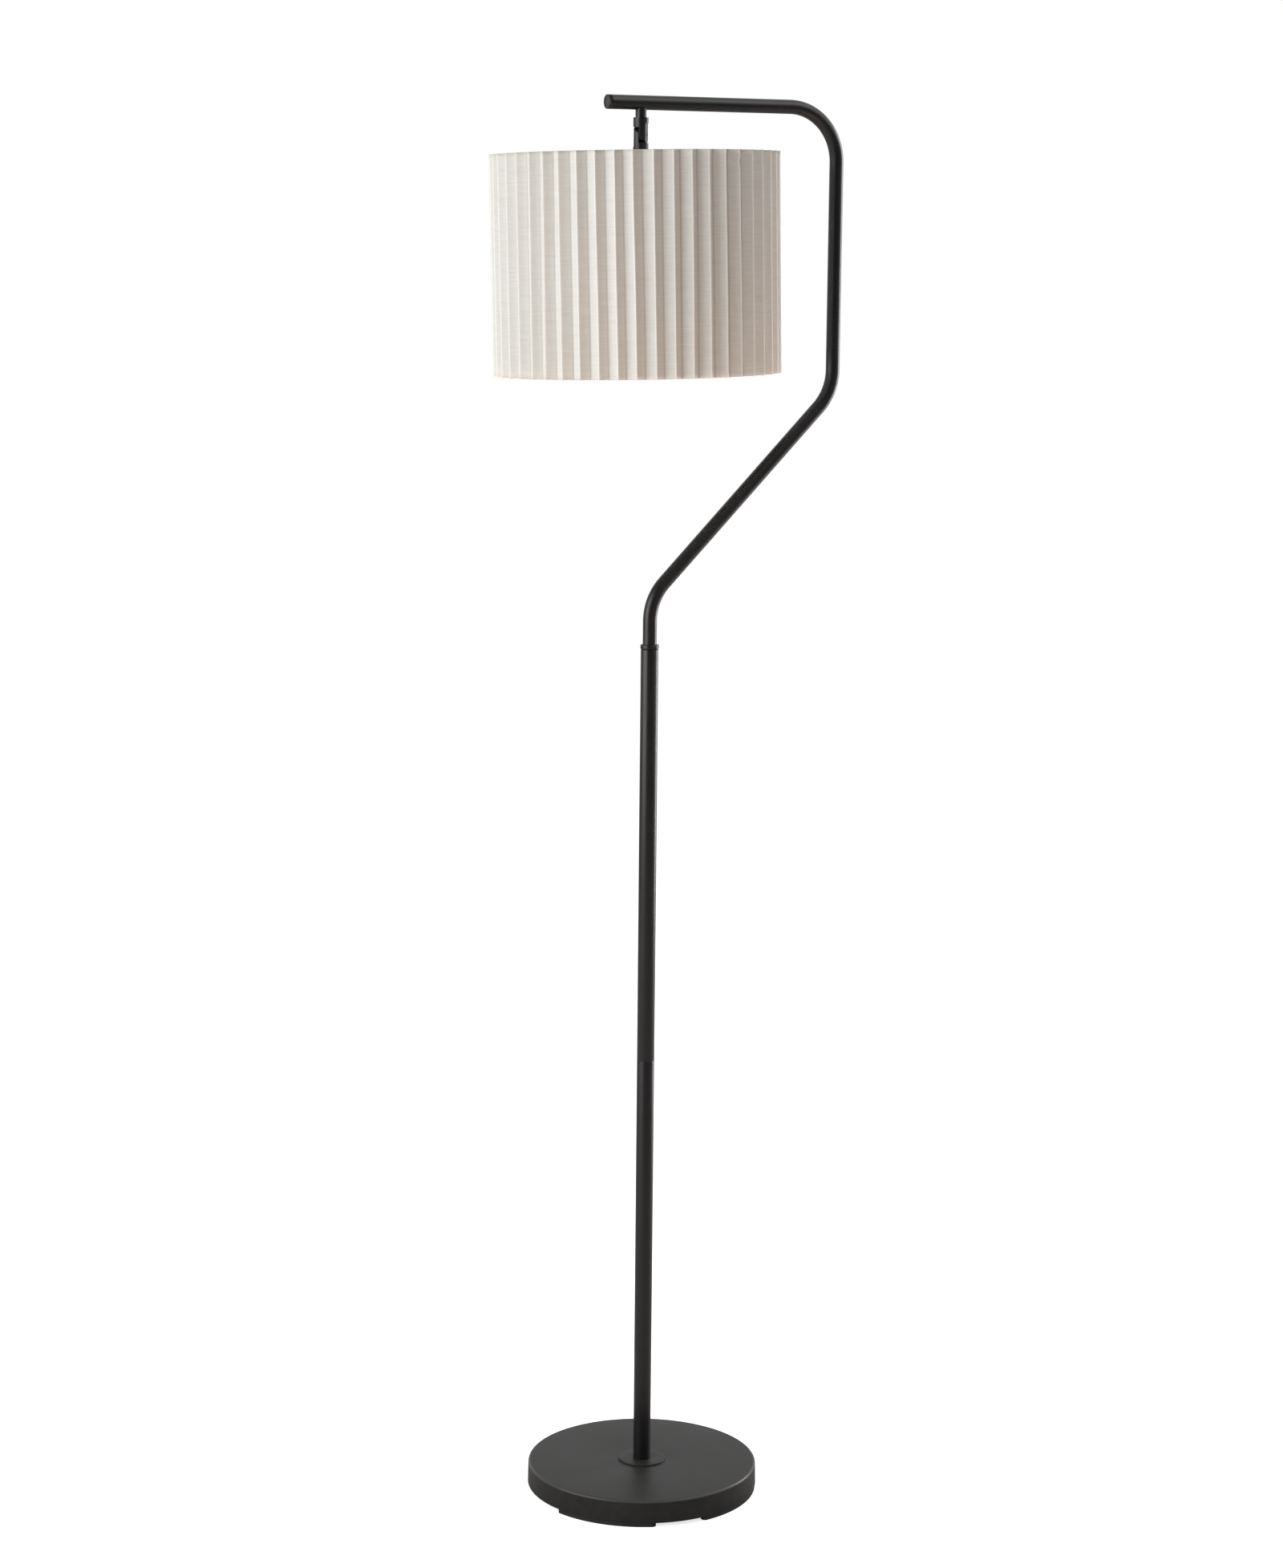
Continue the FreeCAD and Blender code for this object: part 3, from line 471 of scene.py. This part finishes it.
materials = {
    "satin_black": powderCoat("satinBlack", (0.009, 0.009, 0.0095), (0.08, 0.08, 0.08), 0.32, 0.5,
                              tubePeel, tubeMottle),
    "base_black": powderCoat("baseBlack", (0.0180, 0.0175, 0.0165), (0.13, 0.125, 0.12), 0.43, 0.20,
                             basePeel, baseMottle, rubbedEdgeAndHighlight),
    "black_screw": turnedMetal("blackedSteel", (0.05, 0.05, 0.055), 0.38, allWays,
                               tarnish=(0.02, 0.02, 0.02), metallic=0.6),
    "cement": castDull("castCement", (0.42, 0.41, 0.385), 0.85, poreScale=420.0, depth=0.0004),
    "black_board": mouldedPlastic("blackBoard", (0.03, 0.03, 0.031), 0.7, grain=1400.0, depth=0.00008),
    "pad_foam": castDull("padFoam", (0.03, 0.03, 0.032), 0.82, poreScale=900.0, depth=0.00018),
    "black_nylon": mouldedPlastic("blackNylon", (0.03, 0.03, 0.032), 0.42),
    "zinc_steel": turnedMetal("zincSteel", (0.66, 0.66, 0.63), 0.34, turnedAboutZ, tarnish=(0.42, 0.4, 0.34)),
    "phenolic": mouldedPlastic("blackPhenolic", (0.022, 0.021, 0.02), 0.25, grain=500.0, depth=0.00002),
    "socket_brass": turnedMetal("socketBrass", (0.80, 0.62, 0.30), 0.3, turnedAboutZ,
                                tarnish=(0.35, 0.22, 0.10)),
    "insulator": castDull("porcelain", (0.84, 0.82, 0.76), 0.4, poreScale=600.0, depth=0.00008),
    "bulb_cap": turnedMetal("bulbCap", (0.78, 0.78, 0.79), 0.3, turnedAboutZ, tarnish=(0.5, 0.5, 0.48)),
    "bulb_frost": frostedGlass("frostedGlass"),
    "linen": linenCloth("slubLinen", cloth),
    "liner_white": mouldedPlastic("linerSheet", (0.84, 0.825, 0.79), 0.6, grain=1500.0, depth=0.00006,
                                  sheen=0.1, scuffTone=0.02, drift=1.03),
    "white_wire": mouldedPlastic("whiteWire", (0.80, 0.79, 0.76), 0.38, grain=1100.0, depth=0.00003,
                                 scuffTone=0.06, drift=1.05),
}
print("materials made", len(materials))

slotOf = {row["node"]: row["material_slot"] for row in frame["record"]["subparts"]}
bodyOf = {node: body for body, members in frame["record"]["behaviour"]["bodies"].items() for node in members}


def dress(piece, node):
    # a new piece rides on its node's body, takes its slot's finish and stands for it
    piece.data.materials.clear()
    piece.data.materials.append(materials[slotOf[node]])
    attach(piece, bodyOf[node])
    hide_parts(node)


for node, made in nodes.items():               # every carried-over node gets its slot's finish
    for place in made.material_slots:
        place.material = materials[slotOf[node]]


# base
def halfWidth(node):
    # half of a node's extent along X
    low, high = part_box(node)
    return (high[0] - low[0]) / 2


def boxZ(node):
    # a node's lowest and highest Z
    low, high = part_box(node)
    return low[2], high[2]


def drill(piece, radius, centre, reach, steps=48, sharpOver=35.0):
    # cuts a round bar out of a closed piece: p(angle, y) = centre + (r * cos angle, y, r * sin angle),
    # with y from -reach to reach and r falling to 0 at both ends
    swing = -np.arange(steps) * 2 * math.pi / steps
    bar, along = np.array([0, radius, radius, 0]), np.array([-reach, -reach, reach, reach])
    grid = np.stack([
        centre[0] + np.outer(np.cos(swing), bar),
        np.broadcast_to(centre[1] + along, (steps, len(along))),
        centre[2] + np.outer(np.sin(swing), bar),
    ], -1)
    cutter = gridObject("cutter", grid)
    cut = piece.modifiers.new("hole", "BOOLEAN")
    cut.operation, cut.solver, cut.object = "DIFFERENCE", "EXACT", cutter
    bpy.context.view_layer.update()
    solved = piece.evaluated_get(bpy.context.evaluated_depsgraph_get())
    mesh = bpy.data.meshes.new_from_object(solved)
    piece.modifiers.clear()
    piece.data = mesh
    mesh.set_sharp_from_angle(angle=math.radians(sharpOver))
    bpy.data.objects.remove(cutter)


def makeBase():
    cover = dict(wall=0.0012, draft=0.0005, shoulder=0.0030, hem=0.0004, hole=0.0095, holeEdge=0.0001,
                 inlet=0.00475, inletReach=0.01)
    foot, top = boxZ("base_cover")
    radius = halfWidth("base_cover")
    wall, draft = cover["wall"], cover["draft"]
    corners = [
        (radius, foot), (radius - draft, top), (cover["hole"], top), (cover["hole"], top - wall),
        (radius - draft - wall, top - wall), (radius - wall, foot),
    ]
    radii = [cover["hem"], cover["shoulder"], cover["holeEdge"], cover["holeEdge"],
             cover["shoulder"] - wall, cover["hem"]]
    piece = revolved("baseCover", rounded(corners, radii, steps=10), turns=256)
    inletFoot, inletTop = boxZ("cord_bushing")
    drill(piece, cover["inlet"], (0, radius, (inletFoot + inletTop) / 2), cover["inletReach"])
    dress(piece, "base_cover")

    disc = dict(edge=0.0008, hole=0.00955, holeEdge=0.0002, footEdge=0.0001)
    foot, top = boxZ("pole_escutcheon")
    radius = halfWidth("pole_escutcheon")
    corners = [(radius, foot), (radius, top), (disc["hole"], top), (disc["hole"], foot)]
    radii = [disc["footEdge"], disc["edge"], disc["holeEdge"], disc["footEdge"]]
    dress(revolved("escutcheonDisc", rounded(corners, radii, steps=8), turns=160), "pole_escutcheon")
    print("base made")


makeBase()


# pole and arm
def makePole():
    tube = dict(wall=0.0010, rim=0.00035, innerRim=0.0001)
    for node, name in (("lower_pole", "lowerPoleTube"), ("upper_pole", "upperPoleTube")):
        foot, top = boxZ(node)
        radius = halfWidth(node)
        inner = radius - tube["wall"]
        corners = [(radius, foot), (radius, top), (inner, top), (inner, foot)]
        radii = [tube["rim"]] * 2 + [tube["innerRim"]] * 2
        dress(revolved(name, rounded(corners, radii, steps=5), turns=96), node)

    ring = dict(height=0.0050, lip=0.0100, groove=0.0007, neck=0.0086, spigot=0.00845, bore=0.00755,
                shoulder=0.0009, foot=0.0003, boreEdge=0.0002)
    low, high = boxZ("arm_collar")
    ringFoot = high - ring["height"]
    corners = [
        (ring["spigot"], low), (ring["spigot"], ringFoot), (ring["neck"], ringFoot),
        (ring["neck"], ringFoot + ring["groove"]), (ring["lip"], ringFoot + ring["groove"]),
        (ring["lip"], high), (ring["bore"], high), (ring["bore"], low),
    ]
    radii = [0, 0, 0, 0, ring["foot"], ring["shoulder"], ring["boreEdge"], 0]
    dress(revolved("collarRing", rounded(corners, radii, steps=8), turns=96), "arm_collar")
    print("pole made")


def makeArm():
    arm = dict(firstBend=0.9935, bendRadius=0.05715, wall=0.0012, endStep=1e-6)
    low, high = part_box("arm_tube")
    radius = (high[1] - low[1]) / 2
    reach, height = high[0] - radius, high[2] - radius
    corners = [
        (0, 0, low[2]), (0, 0, arm["firstBend"]), (reach, 0, arm["firstBend"] + reach),
        (reach, 0, height), (low[0], 0, height),
    ]
    path = bentPath(corners, arm["bendRadius"])
    inner = (radius - arm["wall"]) / radius
    # the ends turn in: the scale falls to the bore over endStep of one step past each end point
    path = np.concatenate([path[:1], path, path[-1:]])
    path[0] += (path[1] - path[2]) * arm["endStep"]
    path[-1] += (path[-2] - path[-3]) * arm["endStep"]
    scale = np.ones(len(path))
    scale[0] = scale[-1] = inner
    tube = sweptTube("armTube", path, scale, radius, (0, 1, 0), turns=72)
    dress(tube, "arm_tube")
    print("arm made")


makePole()
makeArm()


# milled, turned and moulded small pieces keep the frame's shape, with broken edges of this width in metres
smallPieces = dict(
    arm_nipple=0.0002, arm_end_cap=0.00015,
    knuckle_upper=0.00012, knuckle_lower=0.00012, knuckle_screw=0.00015, knuckle_nut=0.0002,
    foot_pads=0.0005, cord_bushing=0.0002, stud_washer=0.0002, stud_nut=0.0003, base_stud=0.0002,
    socket_cap=0.0004, socket_shell=0.0003, socket_retainer=0.0003, switch_knob=0.0002,
)
for node, width in smallPieces.items():
    dress(roundedCopy(node, width), node)
print("small pieces rounded", len(smallPieces))


# shade, in metres and degrees
shade = dict(
    count=48,                 # pleats
    phase=64.3,               # one ridge's direction
    depth=0.0084,             # ridge to valley
    margin=0.0003,            # the ridges stay this far inside the frame's box
    valleyLean=-0.5,
    ridgeRound=0.06, valleyRound=0.05,         # share of a facet that its ends turn over
    thickness=0.00045,
    columns=14, rows=60,      # per pleat, and up the cloth
    crowding=0.13,            # how far the columns crowd towards the ridges and valleys
    # how much one fold differs from the next
    angleSpread=0.22, slantSpread=0.16, wanderSpread=0.05, valleySpread=0.12,
    radiusSpread=0.0004, depthSpread=0.0004,
    slant=0.3,                # what every fold turns from top to foot
    endOpening=0.0006, endReach=0.02,          # the glued ends' valleys open; reach as a share of the height
    endDip=0.0004,            # how far the cut edges draw in between a ridge and a valley
    hangLean=1.25, hangShift=-0.004,           # as it hangs on its fitter in the photo
    bow=-0.0009,              # facets bow outwards this much; below 0 they are hollow
    kinkAt=47.0,              # the pinched fold's direction, counted from the camera's
    kinkDepth=0.0012, kinkTurn=0.7,
    kinkPlace=0.955, kinkLength=0.016,         # shares of the height
)


def shadeAxis():
    # X and Y of the middle of the shade
    low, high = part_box("shade_pleats")
    return (low[0] + high[0]) / 2, (low[1] + high[1]) / 2


def hang(grid, share=1.0):
    # p + share * (the turn by hangLean about the camera's away axis through the shade's middle
    # + hangShift to the camera's right)
    low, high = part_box("shade_pleats")
    azimuth = math.radians(camera["azimuth"])
    right = np.array([math.cos(azimuth), math.sin(azimuth), 0])
    up = np.array([0, 0, 1.0])
    offset = grid - (np.array(low) + np.array(high)) / 2
    lean = math.radians(shade["hangLean"])
    across, rise = offset @ right, offset @ up
    moveRight = across * (math.cos(lean) - 1) - rise * math.sin(lean) + shade["hangShift"]
    moveUp = across * math.sin(lean) + rise * (math.cos(lean) - 1)
    return grid + np.asarray(share)[..., None] * (moveRight[..., None] * right + moveUp[..., None] * up)


def hangMesh(mesh, share=None):
    # share gives, from 0 to 1, how far each point follows the hung shade
    points = np.empty(len(mesh.vertices) * 3, np.float32)
    mesh.vertices.foreach_get("co", points)
    points = points.reshape(-1, 3).astype(float)
    follow = np.ones(len(points)) if share is None else share(points)
    mesh.vertices.foreach_set("co", hang(points, follow).reshape(-1).astype(np.float32))
    mesh.update()


def pleatProfile(columns, samples=2001):
    # x runs valley to ridge: x = even - crowding * sin(2 pi even)
    # height(x) = integral of x / hypot(x, valleyRound) * y / hypot(y, ridgeRound), y = 1 - x, scaled to 1
    fine = np.linspace(0, 1, samples)
    rest = 1 - fine
    slope = fine / np.hypot(fine, shade["valleyRound"]) * rest / np.hypot(rest, shade["ridgeRound"])
    height = np.cumsum(slope)
    height = (height - height[0]) / (height[-1] - height[0])
    even = np.arange(columns // 2) / (columns // 2)
    x = even - shade["crowding"] * np.sin(2 * np.pi * even)
    return x, np.interp(x, fine, height)


def makePleats():
    # p(s, z) = axis + radius * (cos angle, sin angle), z up; angle and radius go from ridge to valley
    # and on to the next ridge by the profile, and every fold has its own ridge and valley lines
    low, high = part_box("shade_pleats")
    centreX, centreY = shadeAxis()
    outer = halfWidth("shade_pleats") - shade["margin"]
    count, rows = shade["count"], shade["rows"]
    up = np.linspace(0, 1, rows)
    x, height = pleatProfile(shade["columns"])
    pitch = 360 / count
    ridge = np.arange(count)

    def spread(size):
        # one draw for each fold
        return rng.normal(0, size, count)[:, None]

    def wander(k):
        # a slow wave up each fold, k half turns long
        phase = rng.random((count, 1))
        return np.sin(2 * np.pi * (k * up[None] * 0.5 + phase)) * spread(shade["wanderSpread"]) / k

    def following(angle):
        # the next fold's angle, a full turn on past the last one
        return np.roll(angle, -1, 0) + np.where(ridge == count - 1, 360, 0)[:, None]

    def blend(first, second, share):
        # first * share + second * (1 - share), for every fold, column and row
        return first[:, None, :] * share[None, :, None] + second[:, None, :] * (1 - share)[None, :, None]

    wandering = sum(wander(k) for k in (1, 2, 3))
    ridgeAngle = (shade["phase"] + ridge[:, None] * pitch + spread(shade["angleSpread"])
                  + spread(shade["slantSpread"]) * (up[None] * 2 - 1)
                  + wandering - shade["slant"] * (up[None] - 0.5))
    valleyAngle = ((ridgeAngle + following(ridgeAngle)) / 2
                   + shade["valleyLean"] + spread(shade["valleySpread"]))
    ridgeRadius = outer - np.abs(spread(shade["radiusSpread"])) + 0 * up[None]
    valleyRadius = outer - shade["depth"] + np.abs(spread(shade["depthSpread"])) * np.sin(np.pi * up[None])
    ends = np.exp(-up / shade["endReach"]) + np.exp(-(1 - up) / shade["endReach"])
    valleyRadius = valleyRadius + shade["endOpening"] * ends[None]

    # the fold nearest to kinkAt is pinched near its top: a bell-shaped dent, and a turn to each side of it
    fromCamera = ridgeAngle[:, -1] - camera["azimuth"] + 90
    pinched = np.abs((fromCamera - shade["kinkAt"] + 180) % 360 - 180) < pitch / 2
    along = (up - shade["kinkPlace"]) / shade["kinkLength"]
    nip = pinched[:, None] * np.exp(-along ** 2)[None]
    ridgeRadius = ridgeRadius - shade["kinkDepth"] * nip
    ridgeAngle = ridgeAngle + shade["kinkTurn"] * nip * along[None]

    # falling facet: ridge to valley; rising facet: valley to the next ridge
    fall = 1 - x
    fallHeight = np.interp(fall, np.append(x, 1), np.append(height, 1))
    fallBow, riseBow = (shade["bow"] * np.sin(np.pi * run)[None, :, None] for run in (fall, x))
    fallAngle = blend(ridgeAngle, valleyAngle, fall)
    riseAngle = blend(following(ridgeAngle), valleyAngle, x)
    fallRadius = blend(ridgeRadius, valleyRadius, fallHeight) + fallBow
    riseRadius = blend(np.roll(ridgeRadius, -1, 0), valleyRadius, height) + riseBow
    around = count * 2 * len(x)
    angle = np.radians(np.concatenate([fallAngle, riseAngle], 1)).reshape(around, rows)
    radius = np.concatenate([fallRadius, riseRadius], 1).reshape(around, rows)
    z = low[2] + (high[2] - low[2]) * up
    dip = shade["endDip"] * np.abs(np.sin(np.arange(around) / len(x) * np.pi))[:, None] * (up * 2 - 1)[None]
    grid = np.stack([centreX + radius * np.cos(angle), centreY + radius * np.sin(angle), z[None] - dip], -1)

    # the cloth's own coordinates: metres round the unhung foot, and up
    step = np.linalg.norm(np.diff(grid[:, 0], axis=0, append=grid[:1, 0]), axis=1)
    run = np.concatenate([[0], np.cumsum(step)])
    uv = np.stack(np.broadcast_arrays(run[:, None], (z - low[2])[None]), -1)
    piece = gridObject("pleatedCloth", hang(grid), uv=uv, weldWithin=0)
    ridgeShare = np.broadcast_to(np.tile(np.concatenate([fall, x]), count)[:, None], angle.shape)
    share = piece.data.attributes.new("ridgeShare", "FLOAT", "POINT")
    share.data.foreach_set("value", ridgeShare.reshape(-1).astype(np.float32))
    shell = piece.modifiers.new("clothThickness", "SOLIDIFY")
    shell.thickness = shade["thickness"]
    shell.offset = -1.0
    shell.use_even_offset = False
    dress(piece, "shade_pleats")
    print("pleated cloth made, developed length", round(float(run[-1]), 3))


def makeLiner():
    liner = dict(wall=0.0008, edge=0.0003, turns=192, wireSteps=20)
    foot, top = boxZ("shade_liner")
    outer = halfWidth("shade_liner")
    inner = outer - liner["wall"]
    corners = [(outer, foot), (outer, top), (inner, top), (inner, foot)]
    profile = rounded(corners, [liner["edge"]] * 4, steps=4)
    piece = revolved("linerDrum", profile, shadeAxis(), liner["turns"])
    hangMesh(piece.data)
    dress(piece, "shade_liner")
    for node, name in (("shade_top_ring", "topWireRing"), ("shade_bottom_ring", "bottomWireRing")):
        foot, top = boxZ(node)
        wire = (top - foot) / 2
        radius = halfWidth(node) - wire
        swing = np.linspace(0, 2 * np.pi, liner["wireSteps"], endpoint=False)
        profile = np.stack([radius + wire * np.cos(swing), (foot + top) / 2 + wire * np.sin(swing)], -1)
        hoop = revolved(name, profile, shadeAxis(), liner["turns"])
        hangMesh(hoop.data)
        dress(hoop, node)
    print("liner and rings made")


def makeFitter():
    # the ring stays on the socket and the spokes bend evenly out to the hung wire ring
    fitter = dict(edge=0.0002, ring=0.0200, reach=0.1400)
    centreX, centreY = shadeAxis()

    def share(points):
        distance = np.hypot(points[:, 0] - centreX, points[:, 1] - centreY)
        return np.clip((distance - fitter["ring"]) / (fitter["reach"] - fitter["ring"]), 0, 1)

    piece = roundedCopy("shade_fitter", fitter["edge"])
    hangMesh(piece.data, share)
    dress(piece, "shade_fitter")
    print("fitter made")


makePleats()
makeLiner()
makeFitter()


# bulb
def makeBulb():
    # round end, then a cubic flare: it leaves with the round end's slope and comes upright into the neck
    bulb = dict(neck=0.0122, straight=0.006, wall=0.0009, waist=30.0, steps=40, turns=96)
    low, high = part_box("bulb_glass")
    centre = ((low[0] + high[0]) / 2, (low[1] + high[1]) / 2)
    belly = halfWidth("bulb_glass")
    middle = low[2] + belly
    swing = np.linspace(-np.pi / 2, np.radians(bulb["waist"]), bulb["steps"])
    roundEnd = np.stack([belly * np.cos(swing), middle + belly * np.sin(swing)], -1)
    startR, startZ = roundEnd[-1]
    slope = -math.tan(math.radians(bulb["waist"]))
    t = np.linspace(0, 1, bulb["steps"])[1:]
    run = high[2] - bulb["straight"] - startZ
    fromStart, bySlope, toNeck = 2 * t**3 - 3 * t**2 + 1, t**3 - 2 * t**2 + t, -2 * t**3 + 3 * t**2
    flareR = fromStart * startR + bySlope * run * slope + toNeck * bulb["neck"]
    flare = np.stack([flareR, startZ + run * t], -1)
    neck = np.array([[bulb["neck"], high[2]]])
    outside = np.concatenate([roundEnd, flare, neck])
    # the inside is the outside moved in along its normal by the wall
    normalIn = np.gradient(outside, axis=0)
    normalIn = np.stack([-normalIn[:, 1], normalIn[:, 0]], -1)
    normalIn /= np.linalg.norm(normalIn, axis=1, keepdims=True)
    inside = (outside + normalIn * bulb["wall"])[::-1]
    inside[:, 0] = np.maximum(inside[:, 0], 0)
    inside[0, 1] = high[2]
    piece = revolved("bulbGlass", np.concatenate([outside, inside]), centre, bulb["turns"], closed=False)
    dress(piece, "bulb_glass")
    print("bulb made")


makeBulb()


# studio
def studioPoint(right, away, up):
    # a point given in metres to the camera's right, away from it and up
    azimuth = math.radians(camera["azimuth"])
    return Vector((math.cos(azimuth) * right - math.sin(azimuth) * away,
                   math.sin(azimuth) * right + math.cos(azimuth) * away, up))


studio = dict(
    # what lights the lamp from all round: a base level, more in front and behind, more overhead
    level=0.112, frontAndBack=0.39, narrowLobe=0.24, frontLess=0.1, overhead=0.35,
    warmFrom=(0.75, -0.45, -0.35), warm=(1.0, 0.78, 0.56),
    # what shines in the metal: a white backdrop behind and a dimmer room on the camera's side
    backdrop=(0.25, 1.0, 0.0), backdropFrom=-0.25, backdropTo=0.65, roomShine=0.03, backdropShine=0.85,
    skylight=(0.65, -0.25, 0.72), skylightSharpness=9.0, skylightShine=2.4,
    floor=(0.80, 0.80, 0.80), floorInShine=(0.62, 0.57, 0.54), floorHalf=6.0,
    floorGlow=0.75, shadowUnderBase=(0.100, 0.118),  # the glow that hides the floor starts at the edge of the base; under the base it is left out, a painted shadow
    key=dict(at=(-2.51, -1.45, 1.5), aim=(0, 0, 1.05), size=(3.0, 2.2), power=70.0,
             colour=(1.0, 0.995, 0.98), spread=180.0),
    rim=dict(at=(2.4, 1.3, 1.2), aim=(0, 0, 1.0), size=(0.9, 2.4), power=56.0,
             colour=(0.95, 0.95, 1.0), spread=180.0),
    glow=dict(at=(0.45, -0.55, 0.5), aim=(0, 0, 1.15), size=(0.5, 0.3), power=0.20,
              colour=(1.0, 0.50, 0.24), spread=40.0),
)


def areaLamp(name, lamp):
    # a rectangle of light that faces its aim; size in metres, power in watts, spread in degrees
    data = bpy.data.lights.new(name, "AREA")
    data.shape = "RECTANGLE"
    data.size, data.size_y = lamp["size"]
    data.energy = lamp["power"]
    data.color = lamp["colour"]
    data.spread = math.radians(lamp["spread"])
    made = bpy.data.objects.new(name, data)
    bpy.context.scene.collection.objects.link(made)
    place, aim = studioPoint(*lamp["at"]), studioPoint(*lamp["aim"])
    turn = (aim - place).to_track_quat("-Z", "Y")
    made.matrix_world = Matrix.Translation(place) @ turn.to_matrix().to_4x4()
    made.visible_camera = False


def makeWorld():
    world = bpy.data.worlds.new("studio")
    bpy.context.scene.world = world
    world.use_nodes = True
    sky = NodeTree(world.node_tree)
    background = world.node_tree.nodes["Background"]
    direction = sky.node("ShaderNodeTexCoord", out="Generated")

    def toward(vector):
        # cosine of the angle between a ray and a direction given as right, away, up
        return sky.node("ShaderNodeVectorMath", {"operation": "DOT_PRODUCT"},
                        {0: direction, 1: tuple(studioPoint(*vector).normalized())}, "Value")

    front, above = toward((0, -1, 0)), toward((0, 0, 1))
    # light = level + frontAndBack * front^2 + narrowLobe * front^4 - frontLess * front + overhead * above^2
    lobe = front * front
    light = (studio["level"] + lobe * studio["frontAndBack"] + lobe * lobe * studio["narrowLobe"]
             - front * studio["frontLess"] + above * above * studio["overhead"])
    # shine = a ramp from the room to the backdrop + skylightShine * cosine^skylightSharpness
    shine = sky.node("ShaderNodeMapRange", {}, {
        "Value": toward(studio["backdrop"]),
        "From Min": studio["backdropFrom"], "From Max": studio["backdropTo"],
        "To Min": studio["roomShine"], "To Max": studio["backdropShine"]})
    window = sky.node("ShaderNodeMath", {"operation": "MAXIMUM"}, {0: toward(studio["skylight"]), 1: 0.0})
    shine = shine + window ** studio["skylightSharpness"] * studio["skylightShine"]
    glossy = sky.node("ShaderNodeLightPath", out="Is Glossy Ray")
    seen = sum(sky.node("ShaderNodeLightPath", out=ray) for ray in ("Is Camera Ray", "Is Transmission Ray"))
    seen = sky.node("ShaderNodeMath", {"operation": "MINIMUM"}, {0: seen, 1: 1.0})
    strength = glossy * shine + (1 - glossy) * light
    warmth = sky.node("ShaderNodeMapRange", {}, {"Value": toward(studio["warmFrom"])})
    warmth = warmth * (1 - seen) * (1 - glossy)
    tint = sky.node("ShaderNodeMix", {"data_type": "RGBA"},
                    {0: warmth, 6: (1.0, 1.0, 1.0), 7: studio["warm"]}, 2)
    sky.feed(background.inputs["Color"], tint)
    sky.feed(background.inputs["Strength"], seen + (1 - seen) * strength)


def makeFloor():
    # the floor is dull, tinted in shine and, to the camera, pale past the edge of the base and darker under
    # it, a painted shadow where the base's real shadow also falls
    half = studio["floorHalf"]
    grid = np.array([[[-half, -half, 0], [-half, half, 0]], [[half, -half, 0], [half, half, 0]]], float)
    floor = gridObject("floor", grid, closeU=False, weldWithin=0)
    paint = Shader("floorPaint", Roughness=0.9, Specular_IOR_Level=0.0)
    paint.surface.inputs["Emission Color"].default_value = (1, 1, 1, 1)
    seen, shine = (paint.node("ShaderNodeLightPath", out=ray) for ray in ("Is Camera Ray", "Is Glossy Ray"))
    away = paint.node("ShaderNodeVectorMath", {"operation": "LENGTH"}, {0: paint.place()}, "Value")
    # no glow under the base: a painted shadow disk
    glow = seen * paint.remap(away, *studio["shadowUnderBase"]) * studio["floorGlow"]
    paint.feed(paint.surface.inputs["Emission Strength"], glow)
    colour = paint.mix(shine, studio["floor"], studio["floorInShine"])
    floor.data.materials.append(paint.finish(Base_Color=colour))


def makeStudio():
    for name in ("key", "rim", "glow"):
        areaLamp(name, studio[name])
    makeWorld()
    makeFloor()
    bpy.context.scene.view_settings.view_transform = "Standard"
    print("studio made")


makeStudio()
